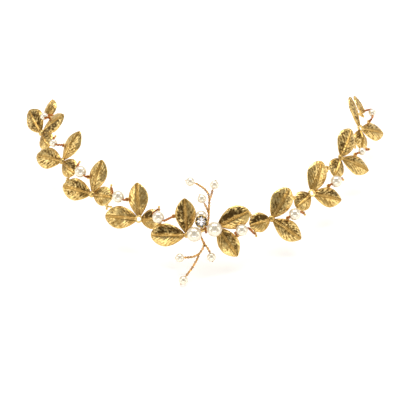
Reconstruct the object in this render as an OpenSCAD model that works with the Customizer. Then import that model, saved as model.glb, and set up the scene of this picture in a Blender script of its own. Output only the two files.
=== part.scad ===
// Leaf and pearl tiara: two wings of hinged cast leaves either side of a wired centre cluster.
// The head stands upright along +Z and faces -Y; the origin is the front
// of the curve, where the centre lies on the head.

/* [Band] */
// Half of the width across the head curve
head_half_width = 87; // [86:0.5:88]
// Half of the depth of the head curve
head_half_depth = 113; // [112:0.5:114]
// How far the leaf faces lean back from upright, in degrees
lean = 42; // [40:1:44]

/* [Leaves] */
// Length of the pointed side leaf, from the hub
pointed_length = 17; // [16:0.5:17.5]
// Width of the pointed side leaf
pointed_width = 9.2; // [8.8:0.1:9.4]
// Length of the round leaf, from the hub
round_length = 16.5; // [15.5:0.5:17]
// Width of the round leaf
round_width = 10.4; // [10:0.1:10.6]
// Length of the short leaf that carries the hinge, from the hub
hinge_leaf_length = 11.5; // [11.2:0.1:11.6]
// Width of the short hinge leaf
hinge_leaf_width = 9; // [8.8:0.1:9]
// Thickness of the cast leaves
leaf_thick = 0.7; // [0.6:0.05:0.75]
// Slope of a leaf away from its midrib, in degrees
fold = 14; // [12:1:15]

/* [Hinges] */
// Radius of the cross pin behind each hinge leaf
pin_r = 0.45; // [0.4:0.05:0.5]
// Radial clearance between a pin and what turns on it
running_gap = 0.05; // [0.03:0.01:0.08]

/* [Pearls] */
// Radius of the large centre pearls
large_pearl_r = 3.5; // [3.4:0.05:3.5]
// Radius of the pearls on the three inner hinges
link_pearl_r = 2.8; // [2.6:0.1:2.9]
// Radius of the pearls on the two outer hinges
small_link_pearl_r = 1.9; // [1.7:0.1:2]
// Radius of the sprig pearls
sprig_pearl_r = 2.1; // [2:0.05:2.2]

/* [Crystal] */
// Radius of the round crystal at its girdle
crystal_r = 2.6; // [2.5:0.05:2.7]

/* [Wire] */
// Radius of the single wires
wire_r = 0.3; // [0.25:0.05:0.35]
// Radius of a twisted pair of sprig wires
twist_r = 0.4; // [0.35:0.05:0.45]

/* [Hidden] */
LINKS = 4;                       // full castings on each side of the centre
SIDES = ["left", "right"];

GOLD = "goldenrod";
COPPER = "chocolate";
PEARL = "ivory";
CRYSTAL = "lightcyan";

// Where each hub stands on the head curve: an angle round its ellipse, and a rise up the leaning
// band. The order is centre casting, four links, end leaf.
RIGHT_ROUND = [4.5, 21.5, 36.5, 52, 65, 72.5];
RIGHT_RISE = [0.7, -1.6, 0, 2.4, 1, 1];
LEFT_ROUND = [4.5, 19.5, 36.5, 51.5, 64.5, 69];
LEFT_RISE = [-3.5, -0.7, -0.6, 0.8, -1.3, 4.5];
// How the leaves of each casting were bent in its own plane; an end leaf counts as a round leaf.
RIGHT_POINTED = [-60, -54, -42, -64, -54];
RIGHT_ROUNDED = [20, 39, 36, 18, 54, 60];
RIGHT_HINGE = [0, 176, 185, 195, 208];
LEFT_POINTED = [-82, -69, -77, -81, -104];
LEFT_ROUNDED = [4, 13, 17, 30, 1, -40];
LEFT_HINGE = [0, 198, 203, 187, 186];
// How far each leaf's tip was bent forward out of the casting's plane.
RIGHT_POINTED_TILT = [2, 4, 0, 5, 0];
RIGHT_ROUNDED_TILT = [4, 5, 4, 6, 7, 0];
LEFT_POINTED_TILT = [0, 3, 5, 2, 4];
LEFT_ROUNDED_TILT = [6, 3, 4, 4, 7, 0];
// How far each round leaf was rolled outwards about its midrib.
RIGHT_ROUNDED_ROLL = [0, 0, 0, 0, 22, 20];
LEFT_ROUNDED_ROLL = [0, 0, 0, 0, 0, 0];
// Castings whose hub is an open ring; the other hubs are solid.
RIGHT_OPEN = [false, false, true, false, true];
LEFT_OPEN = [false, true, false, false, false];
// Where each link pearl sits from its hinge pin: back towards the centre, sideways, forward.
RIGHT_PEARL = [[7, 1, 2.6], [6, 1.5, 2.6], [5.5, 0.5, 2.8], [4.6, -2.6, 2.4], [3, -2.6, 4.4]];
// How far along its pointed leaf each casting's ear for the link wire lies.
RIGHT_EAR = [9, 6.4, 9.2, 8, 8];
LEFT_EAR = [9, 9.4, 7, 6.4, 7];
LEFT_PEARL = [[1.0, 0.6, 4.1], [6.6, 0.6, 2.6], [6.6, 3.2, 2.6], [5.2, 4, 2.4], [2.6, 3.2, 4.6]];

hub_r = 1.9;
centre_hub_r = 1.4;
hub_hole_r = 1.0;
hub_thick = 1.2;
stem_half = 0.75;                // half width of a leaf where it leaves the hub
tip_half = 0.3;
leaf_start = 1.1;                // leaves begin inside the hub's wall
leaf_top = 0.1;
arch = 0.8;                      // rise of a leaf's middle above its ends
pin_reach = 9.6;                 // hinge pin from the hub, along the hinge leaf
pin_z = -0.5;                    // and behind the leaf's face
knuckle_r = 0.95;
knuckle_long = 0.9;
knuckle_from = 4.05;             // knuckles start just outside the hinge leaf's edges
end_knuckle_from = 3.6;
pin_end_gap = 0.1;
pin_head_r = 0.6;
arm_r = 0.5;
ear_r = 1.0;
arm_elbow = 2.4;                 // an arm meets its knuckle from the centre's side
ear_out = 0.6;                   // ear's centre outside the leaf's edge
ear_thick = 0.8;
end_leaf_length = 9;
end_leaf_width = 8.4;
end_behind = 2;                  // the end leaves lie behind the last castings
end_leaf_root = 2.2;             // the end leaf's root lies this far behind its pin
sides_of_tube = 8;
ear_behind = 0.3;                // the link wire's tail behind its ear
ear_before = 0.5;                // and its bend in front of it
button_thick = 0.4;              // the flattened tail that keeps the wire in its ear
drill_past = 0.5;                // straight wire on each side of a link pearl
coil_wall_r = 0.72;              // middle of the wall of a wire's coil
arm_from = 5;                    // an arm leaves the round leaf no nearer the hub than this
arm_short = 2.5;                 // no nearer the leaf's tip than this
arm_spread = 0.6;                // and inside this share of its half width
// Leaf forms: how far out a leaf is widest, and how full its ends are
POINTED_FORM = [1.3, 0.85];
ROUND_FORM = [1.4, 0.7];
HINGE_FORM = [1.05, 0.7];
END_FORM = [1, 0.75];
elbow = 1.08;                    // an elbow ball is a little fatter than its rods

// ---- frames: [origin, x, y, z] ----
function unit(v) = v / norm(v);
function side_sign(s) = s == "right" ? 1 : -1;
function pick(s, right, left) = s == "right" ? right : left;
function hub_frame(s, i) =
    let (round_at = pick(s, RIGHT_ROUND, LEFT_ROUND)[i], rise = pick(s, RIGHT_RISE, LEFT_RISE)[i],
         sign = side_sign(s),
         tangent = unit([sign * head_half_width * cos(round_at), head_half_depth * sin(round_at), 0]),
         outward = sign * [tangent.y, -tangent.x, 0],
         face = outward * sin(lean) + [0, 0, cos(lean)],
         up_band = [0, 0, sin(lean)] - outward * cos(lean), back = i > LINKS ? end_behind : 0)
    [[sign * head_half_width * sin(round_at), head_half_depth * (1 - cos(round_at)), 0]
        + rise * up_band - back * face,
     tangent, cross(face, tangent), face];
function at(f, p) = f[0] + f[1] * p.x + f[2] * p.y + f[3] * p.z;
function turned(f, angle) =
    [f[0], f[1] * cos(angle) + f[2] * sin(angle), f[2] * cos(angle) - f[1] * sin(angle), f[3]];
function shifted(f, p) = [at(f, p), f[1], f[2], f[3]];
module place(f) {
    multmatrix([for (r = [0:2]) [f[1][r], f[2][r], f[3][r], f[0][r]]]) children();
}
function tilted(f, angle) =
    [f[0], f[1] * cos(angle) + f[3] * sin(angle), f[2], f[3] * cos(angle) - f[1] * sin(angle)];
function pointed_frame(s, i) = tilted(turned(hub_frame(s, i), pick(s, RIGHT_POINTED, LEFT_POINTED)[i]),
    pick(s, RIGHT_POINTED_TILT, LEFT_POINTED_TILT)[i]);
function rolled(f, angle) =
    [f[0], f[1], f[2] * cos(angle) + f[3] * sin(angle), f[3] * cos(angle) - f[2] * sin(angle)];
function rounded_frame(s, i) =
    rolled(tilted(turned(hub_frame(s, i), pick(s, RIGHT_ROUNDED, LEFT_ROUNDED)[i]),
            pick(s, RIGHT_ROUNDED_TILT, LEFT_ROUNDED_TILT)[i]),
        pick(s, RIGHT_ROUNDED_ROLL, LEFT_ROUNDED_ROLL)[i]);
// Hinge j joins casting j - 1 to casting j. Its frame has the pin along Y and the centre along +X.
function hinge_frame(s, j) = j <= LINKS
    ? shifted(turned(hub_frame(s, j), pick(s, RIGHT_HINGE, LEFT_HINGE)[j]), [pin_reach, 0, pin_z])
    : shifted(turned(rounded_frame(s, j), 180), [0, 0, pin_z]);
function knuckle_start(j) = j <= LINKS ? knuckle_from : end_knuckle_from;
CENTRE = [[0, 0, 0], [1, 0, 0], [0, cos(lean), sin(lean)], [0, -sin(lean), cos(lean)]];

// ---- round bars and swept wires ----
// A ball turned so that its seam keeps clear of a hole drilled along way
module ball(p, r, way, sides) {
    translate(p) rotate([0, 0, atan2(way.y, way.x) + 90]) sphere(r = r, $fn = sides);
}
module rod(p, q, r) {
    d = q - p;
    translate(p) rotate([0, acos(d.z / norm(d)), atan2(d.y, d.x)]) cylinder(r = r, h = norm(d), $fn = 24);
}
module bent_rod(p, r) {
    for (i = [1:len(p) - 1]) rod(p[i - 1], p[i], r);
    for (i = [1:len(p) - 2]) ball(p[i], elbow * r, p[i] - p[i - 1], 24);
}
function path_dir(p, i) = unit(p[min(i + 1, len(p) - 1)] - p[max(i - 1, 0)]);
function side_of(d, v) = unit(v - d * (d * v));
function sides_along(p, i = 0, v = [0.3, 0.5, 0.8], out = []) =
    i == len(p) ? out
    : let (n = side_of(path_dir(p, i), v)) sides_along(p, i + 1, n, concat(out, [n]));
module tube(p, r, sides = sides_of_tube) {
    n = sides_along(p);
    points = [for (i = [0:len(p) - 1]) let (b = cross(path_dir(p, i), n[i]))
        for (k = [0:sides - 1]) p[i] + r * (cos(360 * k / sides) * n[i] + sin(360 * k / sides) * b)];
    faces = concat(
        [[for (k = [sides - 1:-1:0]) k]],
        [[for (k = [0:sides - 1]) (len(p) - 1) * sides + k]],
        [for (i = [0:len(p) - 2], k = [0:sides - 1])
            let (a = i * sides + k, b = i * sides + (k + 1) % sides)
            [a, b, b + sides]],
        [for (i = [0:len(p) - 2], k = [0:sides - 1])
            let (a = i * sides + k, b = i * sides + (k + 1) % sides)
            [a, b + sides, a + sides]]);
    polyhedron(points, [for (f = faces) [for (k = [len(f) - 1:-1:0]) f[k]]]);
}

// ---- one cast leaf, from the hub along +X, its face towards +Z ----
leaf_steps = 8;
ACROSS = [-1, -0.5, 0, 0.5, 1];
function leaf_half(u, width, form) = stem_half * (1 - u) + tip_half * u
    + (width / 2 - tip_half) * pow(sin(180 * pow(u, form[0])), form[1]);
function leaf_z(u, y) = leaf_top + arch * sin(180 * u) - tan(fold) * abs(y);
module leaf(length, width, form) {
    cols = len(ACROSS);
    under = (leaf_steps + 1) * cols;
    top = [for (i = [0:leaf_steps], v = ACROSS)
        let (u = i / leaf_steps, y = v * leaf_half(u, width, form))
        [leaf_start + u * (length - leaf_start), y, leaf_z(u, y)]];
    quads = concat(
        [for (i = [0:leaf_steps - 1], j = [0:cols - 2])
            let (a = i * cols + j) [a, a + cols, a + cols + 1, a + 1]],
        [for (i = [0:leaf_steps - 1], j = [0:cols - 2])
            let (a = under + i * cols + j) [a + 1, a + cols + 1, a + cols, a]],
        [for (i = [0:leaf_steps - 1]) let (a = i * cols) [a, a + under, a + cols + under, a + cols]],
        [for (i = [0:leaf_steps - 1])
            let (a = i * cols + cols - 1) [a + cols, a + cols + under, a + under, a]],
        [for (j = [0:cols - 2]) [j, j + 1, j + 1 + under, j + under]],
        [for (j = [0:cols - 2]) let (a = leaf_steps * cols + j) [a + 1, a, a + under, a + 1 + under]]);
    polyhedron(concat(top, [for (p = top) p - [0, 0, leaf_thick]]),
        [for (q = quads, t = [[0, 2, 1], [0, 3, 2]]) [for (k = t) q[k]]]);
}
module pointed_leaf() leaf(pointed_length, pointed_width, POINTED_FORM);
module round_leaf() leaf(round_length, round_width, ROUND_FORM);
module hinge_leaf() leaf(hinge_leaf_length, hinge_leaf_width, HINGE_FORM);
module end_leaf_blade() {
    translate([-end_leaf_root, 0, 0]) leaf(end_leaf_length + end_leaf_root, end_leaf_width, END_FORM);
}

// ---- hinges ----
// The pin across the back of a hinge leaf, with a round head on each end
module hinge_pin(s, j) {
    head_at = knuckle_start(j) + knuckle_long + pin_end_gap + pin_head_r;
    place(hinge_frame(s, j)) {
        rotate([90, 0, 0]) cylinder(r = pin_r, h = 2 * head_at, center = true, $fn = 24);
        for (end = [-1, 1]) translate([0, end * head_at, 0]) sphere(r = pin_head_r, $fn = 24);
    }
}
// A knuckle round hinge pin j: side -1 belongs to the casting and side 1 to the link wire
function knuckle_middle(s, j, side) =
    at(hinge_frame(s, j), [0, side * (knuckle_start(j) + knuckle_long / 2), 0]);
module knuckle_space(s, j, side, r, h, sides = 24) {
    place(shifted(hinge_frame(s, j), [0, side * (knuckle_start(j) + knuckle_long / 2), 0]))
        rotate([90, 0, 0]) cylinder(r = r, h = h, center = true, $fn = sides);
}
module knuckle_bore(s, j, side) knuckle_space(s, j, side, pin_r + running_gap, 3 * knuckle_long);
// The arm runs from the round leaf's nearest part to the knuckle
function along(f, p) = (p - f[0]) * f[1];
function aside(f, p) = (p - f[0]) * f[2];
function arm_root(s, j) =
    let (f = rounded_frame(s, j - 1), k = knuckle_middle(s, j, -1),
         x = min(max(along(f, k), arm_from), round_length - arm_short),
         y = sign(aside(f, k)) * min(arm_spread * round_width / 2, abs(aside(f, k))))
    at(f, [x, y, leaf_z(x / round_length, y) - leaf_thick / 2]);
module knuckle(s, j) {
    knuckle_space(s, j, -1, knuckle_r, knuckle_long);
    bent_rod([arm_root(s, j), knuckle_middle(s, j, -1) + arm_elbow * hinge_frame(s, j)[1],
        knuckle_middle(s, j, -1)], arm_r);
}
function ear_frame(s, j) =
    let (x = pick(s, RIGHT_EAR, LEFT_EAR)[j - 1], u = (x - leaf_start) / (pointed_length - leaf_start),
         edge = leaf_half(u, pointed_width, POINTED_FORM))
    shifted(pointed_frame(s, j - 1), [x, edge + ear_out, leaf_z(u, edge) - leaf_thick]);

module casting(s, i, open, hinged = true) {
    color(GOLD) difference() {
        union() {
            place(hub_frame(s, i)) translate([0, 0, -hub_thick / 2])
                cylinder(r = i == 0 ? centre_hub_r : hub_r, h = hub_thick, $fn = 32);
            place(pointed_frame(s, i)) pointed_leaf();
            place(rounded_frame(s, i)) round_leaf();
            place(ear_frame(s, i + 1)) cylinder(r = ear_r, h = ear_thick, $fn = 24);
            knuckle(s, i + 1);
            if (hinged) {
                place(shifted(hinge_frame(s, i), [-pin_reach, 0, -pin_z])) hinge_leaf();
                hinge_pin(s, i);
            }
        }
        if (open) place(hub_frame(s, i)) cylinder(r = hub_hole_r, h = 6, center = true, $fn = 32);
        if (!hinged) place(hub_frame(s, i)) cylinder(r = rivet_r, h = 6, center = true, $fn = 24);
        knuckle_bore(s, i + 1, -1);
        place(ear_frame(s, i + 1)) cylinder(r = wire_r, h = 6, center = true, $fn = 24);
    }
}
module leaf_link(s, i) casting(s, i, pick(s, RIGHT_OPEN, LEFT_OPEN)[i]);
module centre_casting(s) casting(s, 0, false, false);
module end_leaf(s) {
    color(GOLD) {
        place(rounded_frame(s, LINKS + 1)) end_leaf_blade();
        hinge_pin(s, LINKS + 1);
        if (s == "right") rod(END_PEARL_ROOT, END_PEARL_AT, wire_r);
    }
}

// ---- link wires and their pearls ----
function link_pearl_radius(j) = j <= 3 ? link_pearl_r : small_link_pearl_r;
function link_pearl_at(s, j) = at(hinge_frame(s, j), pick(s, RIGHT_PEARL, LEFT_PEARL)[j - 1]);
function ear_tail(s, j) = at(ear_frame(s, j), [0, 0, -ear_behind]);
function ear_front(s, j) = at(ear_frame(s, j), [0, 0, ear_thick + ear_before]);
function drill_dir(s, j) =
    unit(unit(knuckle_middle(s, j, 1) - link_pearl_at(s, j)) + unit(link_pearl_at(s, j) - ear_front(s, j)));
function drill_end(s, j, way) =
    link_pearl_at(s, j) + way * (link_pearl_radius(j) + drill_past) * drill_dir(s, j);
// The wire joins its coil in the coil's wall, on the side towards the pearl
function coil_side(s, j) =
    let (k = knuckle_middle(s, j, 1), axis = hinge_frame(s, j)[2])
    k + coil_wall_r * side_of(axis, drill_end(s, j, 1) - k);
module link_wire(s, j) {
    color(COPPER) difference() {
        union() {
            tube([ear_tail(s, j), ear_front(s, j), drill_end(s, j, -1), drill_end(s, j, 1),
                coil_side(s, j)], wire_r);
            place(ear_frame(s, j)) translate([0, 0, -button_thick - 0.1])
                cylinder(r = 2 * wire_r, h = button_thick, $fn = 12);
            knuckle_space(s, j, 1, knuckle_r, knuckle_long, 12);
        }
        knuckle_bore(s, j, 1);
    }
}
module link_pearl(s, j) {
    color(PEARL) difference() {
        ball(link_pearl_at(s, j), link_pearl_radius(j), drill_dir(s, j), 48);
        rod(drill_end(s, j, -1), drill_end(s, j, 1), wire_r);
    }
}
END_PEARL_ROOT = at(rounded_frame("right", LINKS + 1), [4, -2.2, -0.2]);
END_PEARL_AT = at(rounded_frame("right", LINKS + 1), [2.5, -5.6, -2.2]);
end_pearl_r = 1.6;
module end_pearl() {
    color(PEARL) difference() {
        ball(END_PEARL_AT, end_pearl_r, END_PEARL_AT - END_PEARL_ROOT, 32);
        rod(END_PEARL_ROOT, END_PEARL_AT, wire_r);
    }
}

// ---- the centre: a soldered frame behind, with pearl pins, setting and two hinged sprigs ----
rivet_r = 0.6;
bar_r = 0.9;
bar_behind = 1.7;                // bar's line behind the hubs
pin_wire_r = 0.4;
BAR_LEFT = at(hub_frame("left", 0), [0, 0, -bar_behind]);
BAR_RIGHT = at(hub_frame("right", 0), [0, 0, -bar_behind]);
BAR_DIR = unit(BAR_RIGHT - BAR_LEFT);
BAR_FACE = unit(CENTRE[3] - BAR_DIR * (CENTRE[3] * BAR_DIR));
// A frame on the bar's middle: X along the bar to the right, Z forward
BAR = [(BAR_LEFT + BAR_RIGHT) / 2, BAR_DIR, cross(BAR_FACE, BAR_DIR), BAR_FACE];
function forward(f, p) = (p - f[0]) * f[3];
BAR_Z = forward(CENTRE, BAR[0]);
// Points in the centre frame: the pearls, the middle of the crystal's girdle, the stays' roots
LARGE_LEFT = [-3.6, -2.9, 3.2];
LARGE_RIGHT = [5.7, -0.6, 4.2];
BACK_PEARL = [-0.4, 5.5, 0.8];
CRYSTAL_AT = [-0.3, 2.9, 5];
BACK_STAY = [BACK_PEARL.x, -1, BAR_Z];
BACK_BEND = [BACK_PEARL.x, BACK_PEARL.y, BAR_Z - 0.5];
CRYSTAL_STAY = [CRYSTAL_AT.x, 2, BAR_Z - 0.2];
back_pearl_r = 2.65;
setting_drop = 1.8;              // girdle above the setting's foot
setting_foot_r = 1.3;
rim = 0.3;                       // thickness of the setting's wall and of its claws
claws = 6;
claw_long = 0.9;
stone_gap = 0.25;                // the stone is narrower than its seat
function centre_point(p) = at(CENTRE, p);
// The point level with the bar, straight behind a centre point
function behind(p) = [p.x, p.y, BAR_Z];
module core_frame() {
    color(GOLD) {
        bent_rod([at(hub_frame("left", 0), [0, 0, hub_thick / 2]), BAR_LEFT], rivet_r);
        bent_rod([at(hub_frame("right", 0), [0, 0, hub_thick / 2]), BAR_RIGHT], rivet_r);
        rod(BAR_LEFT, BAR_RIGHT, bar_r);
        for (p = [BAR_LEFT, BAR_RIGHT]) ball(p, elbow * bar_r, BAR_DIR, 24);
        for (p = [LARGE_LEFT, LARGE_RIGHT]) rod(centre_point(behind(p)), centre_point(p), pin_wire_r);
        bent_rod([for (p = [BACK_STAY, BACK_BEND, BACK_PEARL]) centre_point(p)], pin_wire_r);
        rod(centre_point(CRYSTAL_STAY),
            centre_point([CRYSTAL_STAY.x, CRYSTAL_STAY.y, CRYSTAL_AT.z - setting_drop]), pin_wire_r);
    }
}
module pinned_pearl(p, r) {
    color(PEARL) difference() {
        ball(centre_point(p), r, centre_point(p) - centre_point(behind(p)), 48);
        rod(centre_point(behind(p)), centre_point(p), pin_wire_r);
    }
}
binding_r = 2.2;
binding_x = 1.76;                // between the back pearl's stay and the upper sprig's eye
binding_long = 1.2;
binding_step = 0.35;             // between its raised turns
module centre_binding() {
    color(COPPER) place(shifted(BAR, [binding_x, 0, 0])) rotate([0, 90, 0]) {
        difference() {
            cylinder(r = binding_r, h = binding_long, center = true, $fn = 32);
            cylinder(r = bar_r + running_gap, h = 4, center = true, $fn = 32);
        }
        for (turn = [-1:1]) translate([0, 0, binding_step * turn])
            rotate_extrude($fn = 32) translate([binding_r, 0]) circle(r = wire_r, $fn = 16);
    }
}
module crystal_setting() {
    color(GOLD) place(shifted(CENTRE, CRYSTAL_AT)) {
        rotate_extrude($fn = 48) polygon([[0, -setting_drop], [setting_foot_r, -setting_drop],
            [crystal_r + rim, -0.2], [crystal_r + rim, rim], [crystal_r, rim], [crystal_r, 0],
            [0.6, -setting_drop + 0.4], [0, -setting_drop + 0.4]]);
        for (claw = [1:claws]) rotate(360 * claw / claws) translate([crystal_r + 0.1, 0, -0.2]) {
            cylinder(r = rim, h = claw_long, $fn = 16);
            translate([0, 0, claw_long]) sphere(r = rim, $fn = 16);
        }
    }
}
module crystal() {
    color(CRYSTAL) place(shifted(CENTRE, CRYSTAL_AT))
        rotate_extrude($fn = 48) polygon([[0, -1.3], [0.8, -1.2], [crystal_r - stone_gap, 0],
            [crystal_r - stone_gap, 0.2], [1.4, 0.9], [0, 0.9]]);
}

// Sprigs: twisted wire from an eye on the bar, with three pearls. Points are in the centre frame.
eye_r = 1.55;
eye_long = 0.8;
module sprig_eye(x) {
    place(shifted(BAR, [x, 0, 0])) rotate([0, 90, 0]) difference() {
        cylinder(r = eye_r, h = eye_long, center = true, $fn = 32);
        cylinder(r = bar_r + running_gap, h = 4, center = true, $fn = 32);
    }
}
function eased(p) = concat([p[0]],
    [for (i = [1:len(p) - 1], t = [0.5, 1])
        let (a = p[i - 1], b = p[i], c = p[max(i - 2, 0)], d = p[min(i + 1, len(p) - 1)])
        t == 1 ? b : (9 * (a + b) - (c + d)) / 16]);
module twisted_wire(p) tube([for (q = eased(p)) centre_point(q)], twist_r);
module sprig_pin(p, q) rod(centre_point(p), centre_point(q), wire_r);
module sprig_pearl(p, q) {
    color(PEARL) difference() {
        ball(centre_point(q), sprig_pearl_r, centre_point(q) - centre_point(p), 40);
        sprig_pin(p, q);
    }
}
upper_eye_x = 2.9;
lower_eye_x = -1.0;
UPPER_STEM = [[2.3, 0.85, -1.9], [3, 5, 0.2], [3.2, 9, 0.6], [3.4, 12.8, 0.8]];
UPPER_BRANCHES = [
    [[3.4, 12.8, 0.8], [2.9, 15.6, 1.2], [1, 18, 1.6], [-2.6, 20.4, 1.8]],
    [[3.4, 12.8, 0.8], [4.3, 15.2, 0.9], [4.8, 17.2, 1]],
    [[3.1, 6.6, 0.4], [2.2, 9, 1.2], [1.1, 11.2, 1.7]]];
UPPER_PEARLS = [[-5.4, 21.2, 1.8], [5.7, 19.8, 1], [-0.1, 13.4, 1.8]];
LOWER_STEM = [[-1.1, -2.7, -1.9], [-0.4, -4.2, -1.5], [0.3, -5.6, -0.9], [0.9, -7, -0.4]];
LOWER_BRANCHES = [
    [[0.9, -7, -0.4], [2.4, -9, 0], [3.7, -11.2, 0.4]],
    [[0.9, -7, -0.4], [0.4, -9.4, 0], [-1.3, -11.9, 0.4]],
    [[-1.3, -11.9, 0.4], [-4, -13.2, 0.6], [-7.8, -13.6, 0.6]],
    [[-1.3, -11.9, 0.4], [-2.2, -14.2, 0.6], [-4.6, -18.4, 0.8], [-7.2, -21.8, 0.8]]];
LOWER_PEARLS = [[4.3, -13.4, 0.4], [-10.2, -13.7, 0.6], [-8.6, -24, 0.8]];
LOWER_ENDS = [0, 2, 3];          // which lower branch carries each pearl
module sprig_wire(eye_x, stem, branches, ends, pearls) {
    color(GOLD) {
        sprig_eye(eye_x);
        twisted_wire(stem);
        for (b = branches) twisted_wire(b);
        for (n = [0:len(pearls) - 1]) sprig_pin(last(branches[ends[n]]), pearls[n]);
    }
}
function last(p) = p[len(p) - 1];
module upper_sprig_wire() sprig_wire(upper_eye_x, UPPER_STEM, UPPER_BRANCHES, [0, 1, 2], UPPER_PEARLS);
module lower_sprig_wire() sprig_wire(lower_eye_x, LOWER_STEM, LOWER_BRANCHES, LOWER_ENDS, LOWER_PEARLS);

// ---- nodes ----
for (s = SIDES) {
    centre_casting(s);
    for (i = [1:LINKS]) leaf_link(s, i);
    end_leaf(s);
    for (j = [1:LINKS + 1]) {
        link_wire(s, j);
        link_pearl(s, j);
    }
}
core_frame();
centre_binding();
pinned_pearl(LARGE_LEFT, large_pearl_r);  // large_pearl_left
pinned_pearl(LARGE_RIGHT, large_pearl_r);  // large_pearl_right
pinned_pearl(BACK_PEARL, back_pearl_r);  // back_pearl
crystal_setting();
crystal();
end_pearl();  // end_pearl_right
upper_sprig_wire();
lower_sprig_wire();
for (n = [0:2]) {
    sprig_pearl(last(UPPER_BRANCHES[n]), UPPER_PEARLS[n]);
    sprig_pearl(last(LOWER_BRANCHES[LOWER_ENDS[n]]), LOWER_PEARLS[n]);
}
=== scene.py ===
"""Looks of the leaf and pearl tiara, built round its packed CAD frame."""

import math
from functools import partial

import bpy
import numpy as np
from bpy.props import FloatProperty, FloatVectorProperty, IntProperty, PointerProperty
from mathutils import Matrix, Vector, noise


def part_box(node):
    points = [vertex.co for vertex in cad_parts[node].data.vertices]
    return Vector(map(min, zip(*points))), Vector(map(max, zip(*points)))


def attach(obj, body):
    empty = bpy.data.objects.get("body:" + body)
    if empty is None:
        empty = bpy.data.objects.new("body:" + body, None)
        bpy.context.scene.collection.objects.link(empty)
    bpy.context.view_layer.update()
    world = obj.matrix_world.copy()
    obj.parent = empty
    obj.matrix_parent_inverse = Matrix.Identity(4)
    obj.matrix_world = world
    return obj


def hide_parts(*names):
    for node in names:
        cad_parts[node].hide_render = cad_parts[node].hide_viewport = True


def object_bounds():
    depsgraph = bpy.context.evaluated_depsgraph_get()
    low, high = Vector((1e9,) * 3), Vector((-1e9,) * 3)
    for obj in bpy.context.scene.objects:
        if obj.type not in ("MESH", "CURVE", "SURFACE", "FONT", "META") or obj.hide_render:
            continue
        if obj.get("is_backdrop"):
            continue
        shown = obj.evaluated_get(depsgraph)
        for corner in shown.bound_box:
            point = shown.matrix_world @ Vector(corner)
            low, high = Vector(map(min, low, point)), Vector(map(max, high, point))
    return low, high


bl_info = {
    "name": "Leaf and pearl tiara",
    "version": (1, 0, 0),
    "blender": (4, 5, 0),
    "location": "3D View > Sidebar > Tiara",
    "description": "Cast leaves, wired pearls and a crystal on a hinged head band",
    "category": "Object",
}

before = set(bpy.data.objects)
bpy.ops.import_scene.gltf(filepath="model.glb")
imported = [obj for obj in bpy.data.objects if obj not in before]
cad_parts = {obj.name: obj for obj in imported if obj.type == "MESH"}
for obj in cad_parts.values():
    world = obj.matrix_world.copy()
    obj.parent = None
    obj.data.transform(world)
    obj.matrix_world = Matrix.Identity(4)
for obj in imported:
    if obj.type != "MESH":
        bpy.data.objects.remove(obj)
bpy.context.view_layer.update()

MM = 0.001
SIDES = ("left", "right")
LINKS = 4  # full castings on each side of the centre


def linear(hex_colour):
    """An sRGB hex value as linear red, green and blue."""
    parts = [int(hex_colour[i : i + 2], 16) / 255 for i in (1, 3, 5)]
    return tuple(p / 12.92 if p <= 0.04045 else ((p + 0.055) / 1.055) ** 2.4 for p in parts)


# Where each hub stands on the head curve, and how its leaves were bent. The order is centre
# casting, four links, end leaf.
ROUND_AT = {"right": [4.5, 21.5, 36.5, 52, 65, 72.5], "left": [4.5, 19.5, 36.5, 51.5, 64.5, 69]}
RISE = {"right": [0.7, -1.6, 0, 2.4, 1, 1], "left": [-3.5, -0.7, -0.6, 0.8, -1.3, 4.5]}
POINTED_TURN = {"right": [-60, -54, -42, -64, -54], "left": [-82, -69, -77, -81, -104]}
ROUND_TURN = {"right": [20, 39, 36, 18, 54, 60], "left": [4, 13, 17, 30, 1, -40]}
HINGE_TURN = {"right": [0, 176, 185, 195, 208], "left": [0, 198, 203, 187, 186]}
POINTED_TILT = {"right": [2, 4, 0, 5, 0], "left": [0, 3, 5, 2, 4]}
ROUND_TILT = {"right": [4, 5, 4, 6, 7, 0], "left": [6, 3, 4, 4, 7, 0]}
ROUND_ROLL = {"right": [0, 0, 0, 0, 22, 20], "left": [0, 0, 0, 0, 0, 0]}
OPEN_HUBS = {"right": (2, 4), "left": (1,)}
EAR_ALONG = {"right": [9, 6.4, 9.2, 8, 8], "left": [9, 9.4, 7, 6.4, 7]}

# Painted shade on the two halves of each leaf: how much dark antique finish each half carries, set
# by how light falls on that side of the folded leaf, [left half, right half] seen from the hub with
# the face up
POINTED_HALF_SHADE = {
    "right": [[0.5, 0.35], [0.7, 0.35], [0.65, 0.25], [0.5, 0.3], [0.45, 0.35]],
    "left": [[0.95, 0.4], [0.25, 0.2], [0.4, 0.35], [0.25, 0.35], [0.15, 0.9]],
}
ROUND_HALF_SHADE = {
    "right": [[1, 0.1], [0.45, 0.5], [0.35, 0.25], [0.65, 0.5], [0.65, 0.4], [0.35, 0.35]],
    "left": [[0.1, 1], [0.25, 0.35], [0.5, 0.65], [0.55, 0.5], [0.65, 0.65], [0.4, 0.35]],
}
HINGE_HALF_SHADE = {
    "right": [None, [0.1, 1], [0.35, 0.6], [0.5, 0.5], [0.3, 0.5]],
    "left": [None, [0.95, 0.05], [0.45, 0.3], [0.75, 0.3], [0.45, 0.4]],
}

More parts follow.
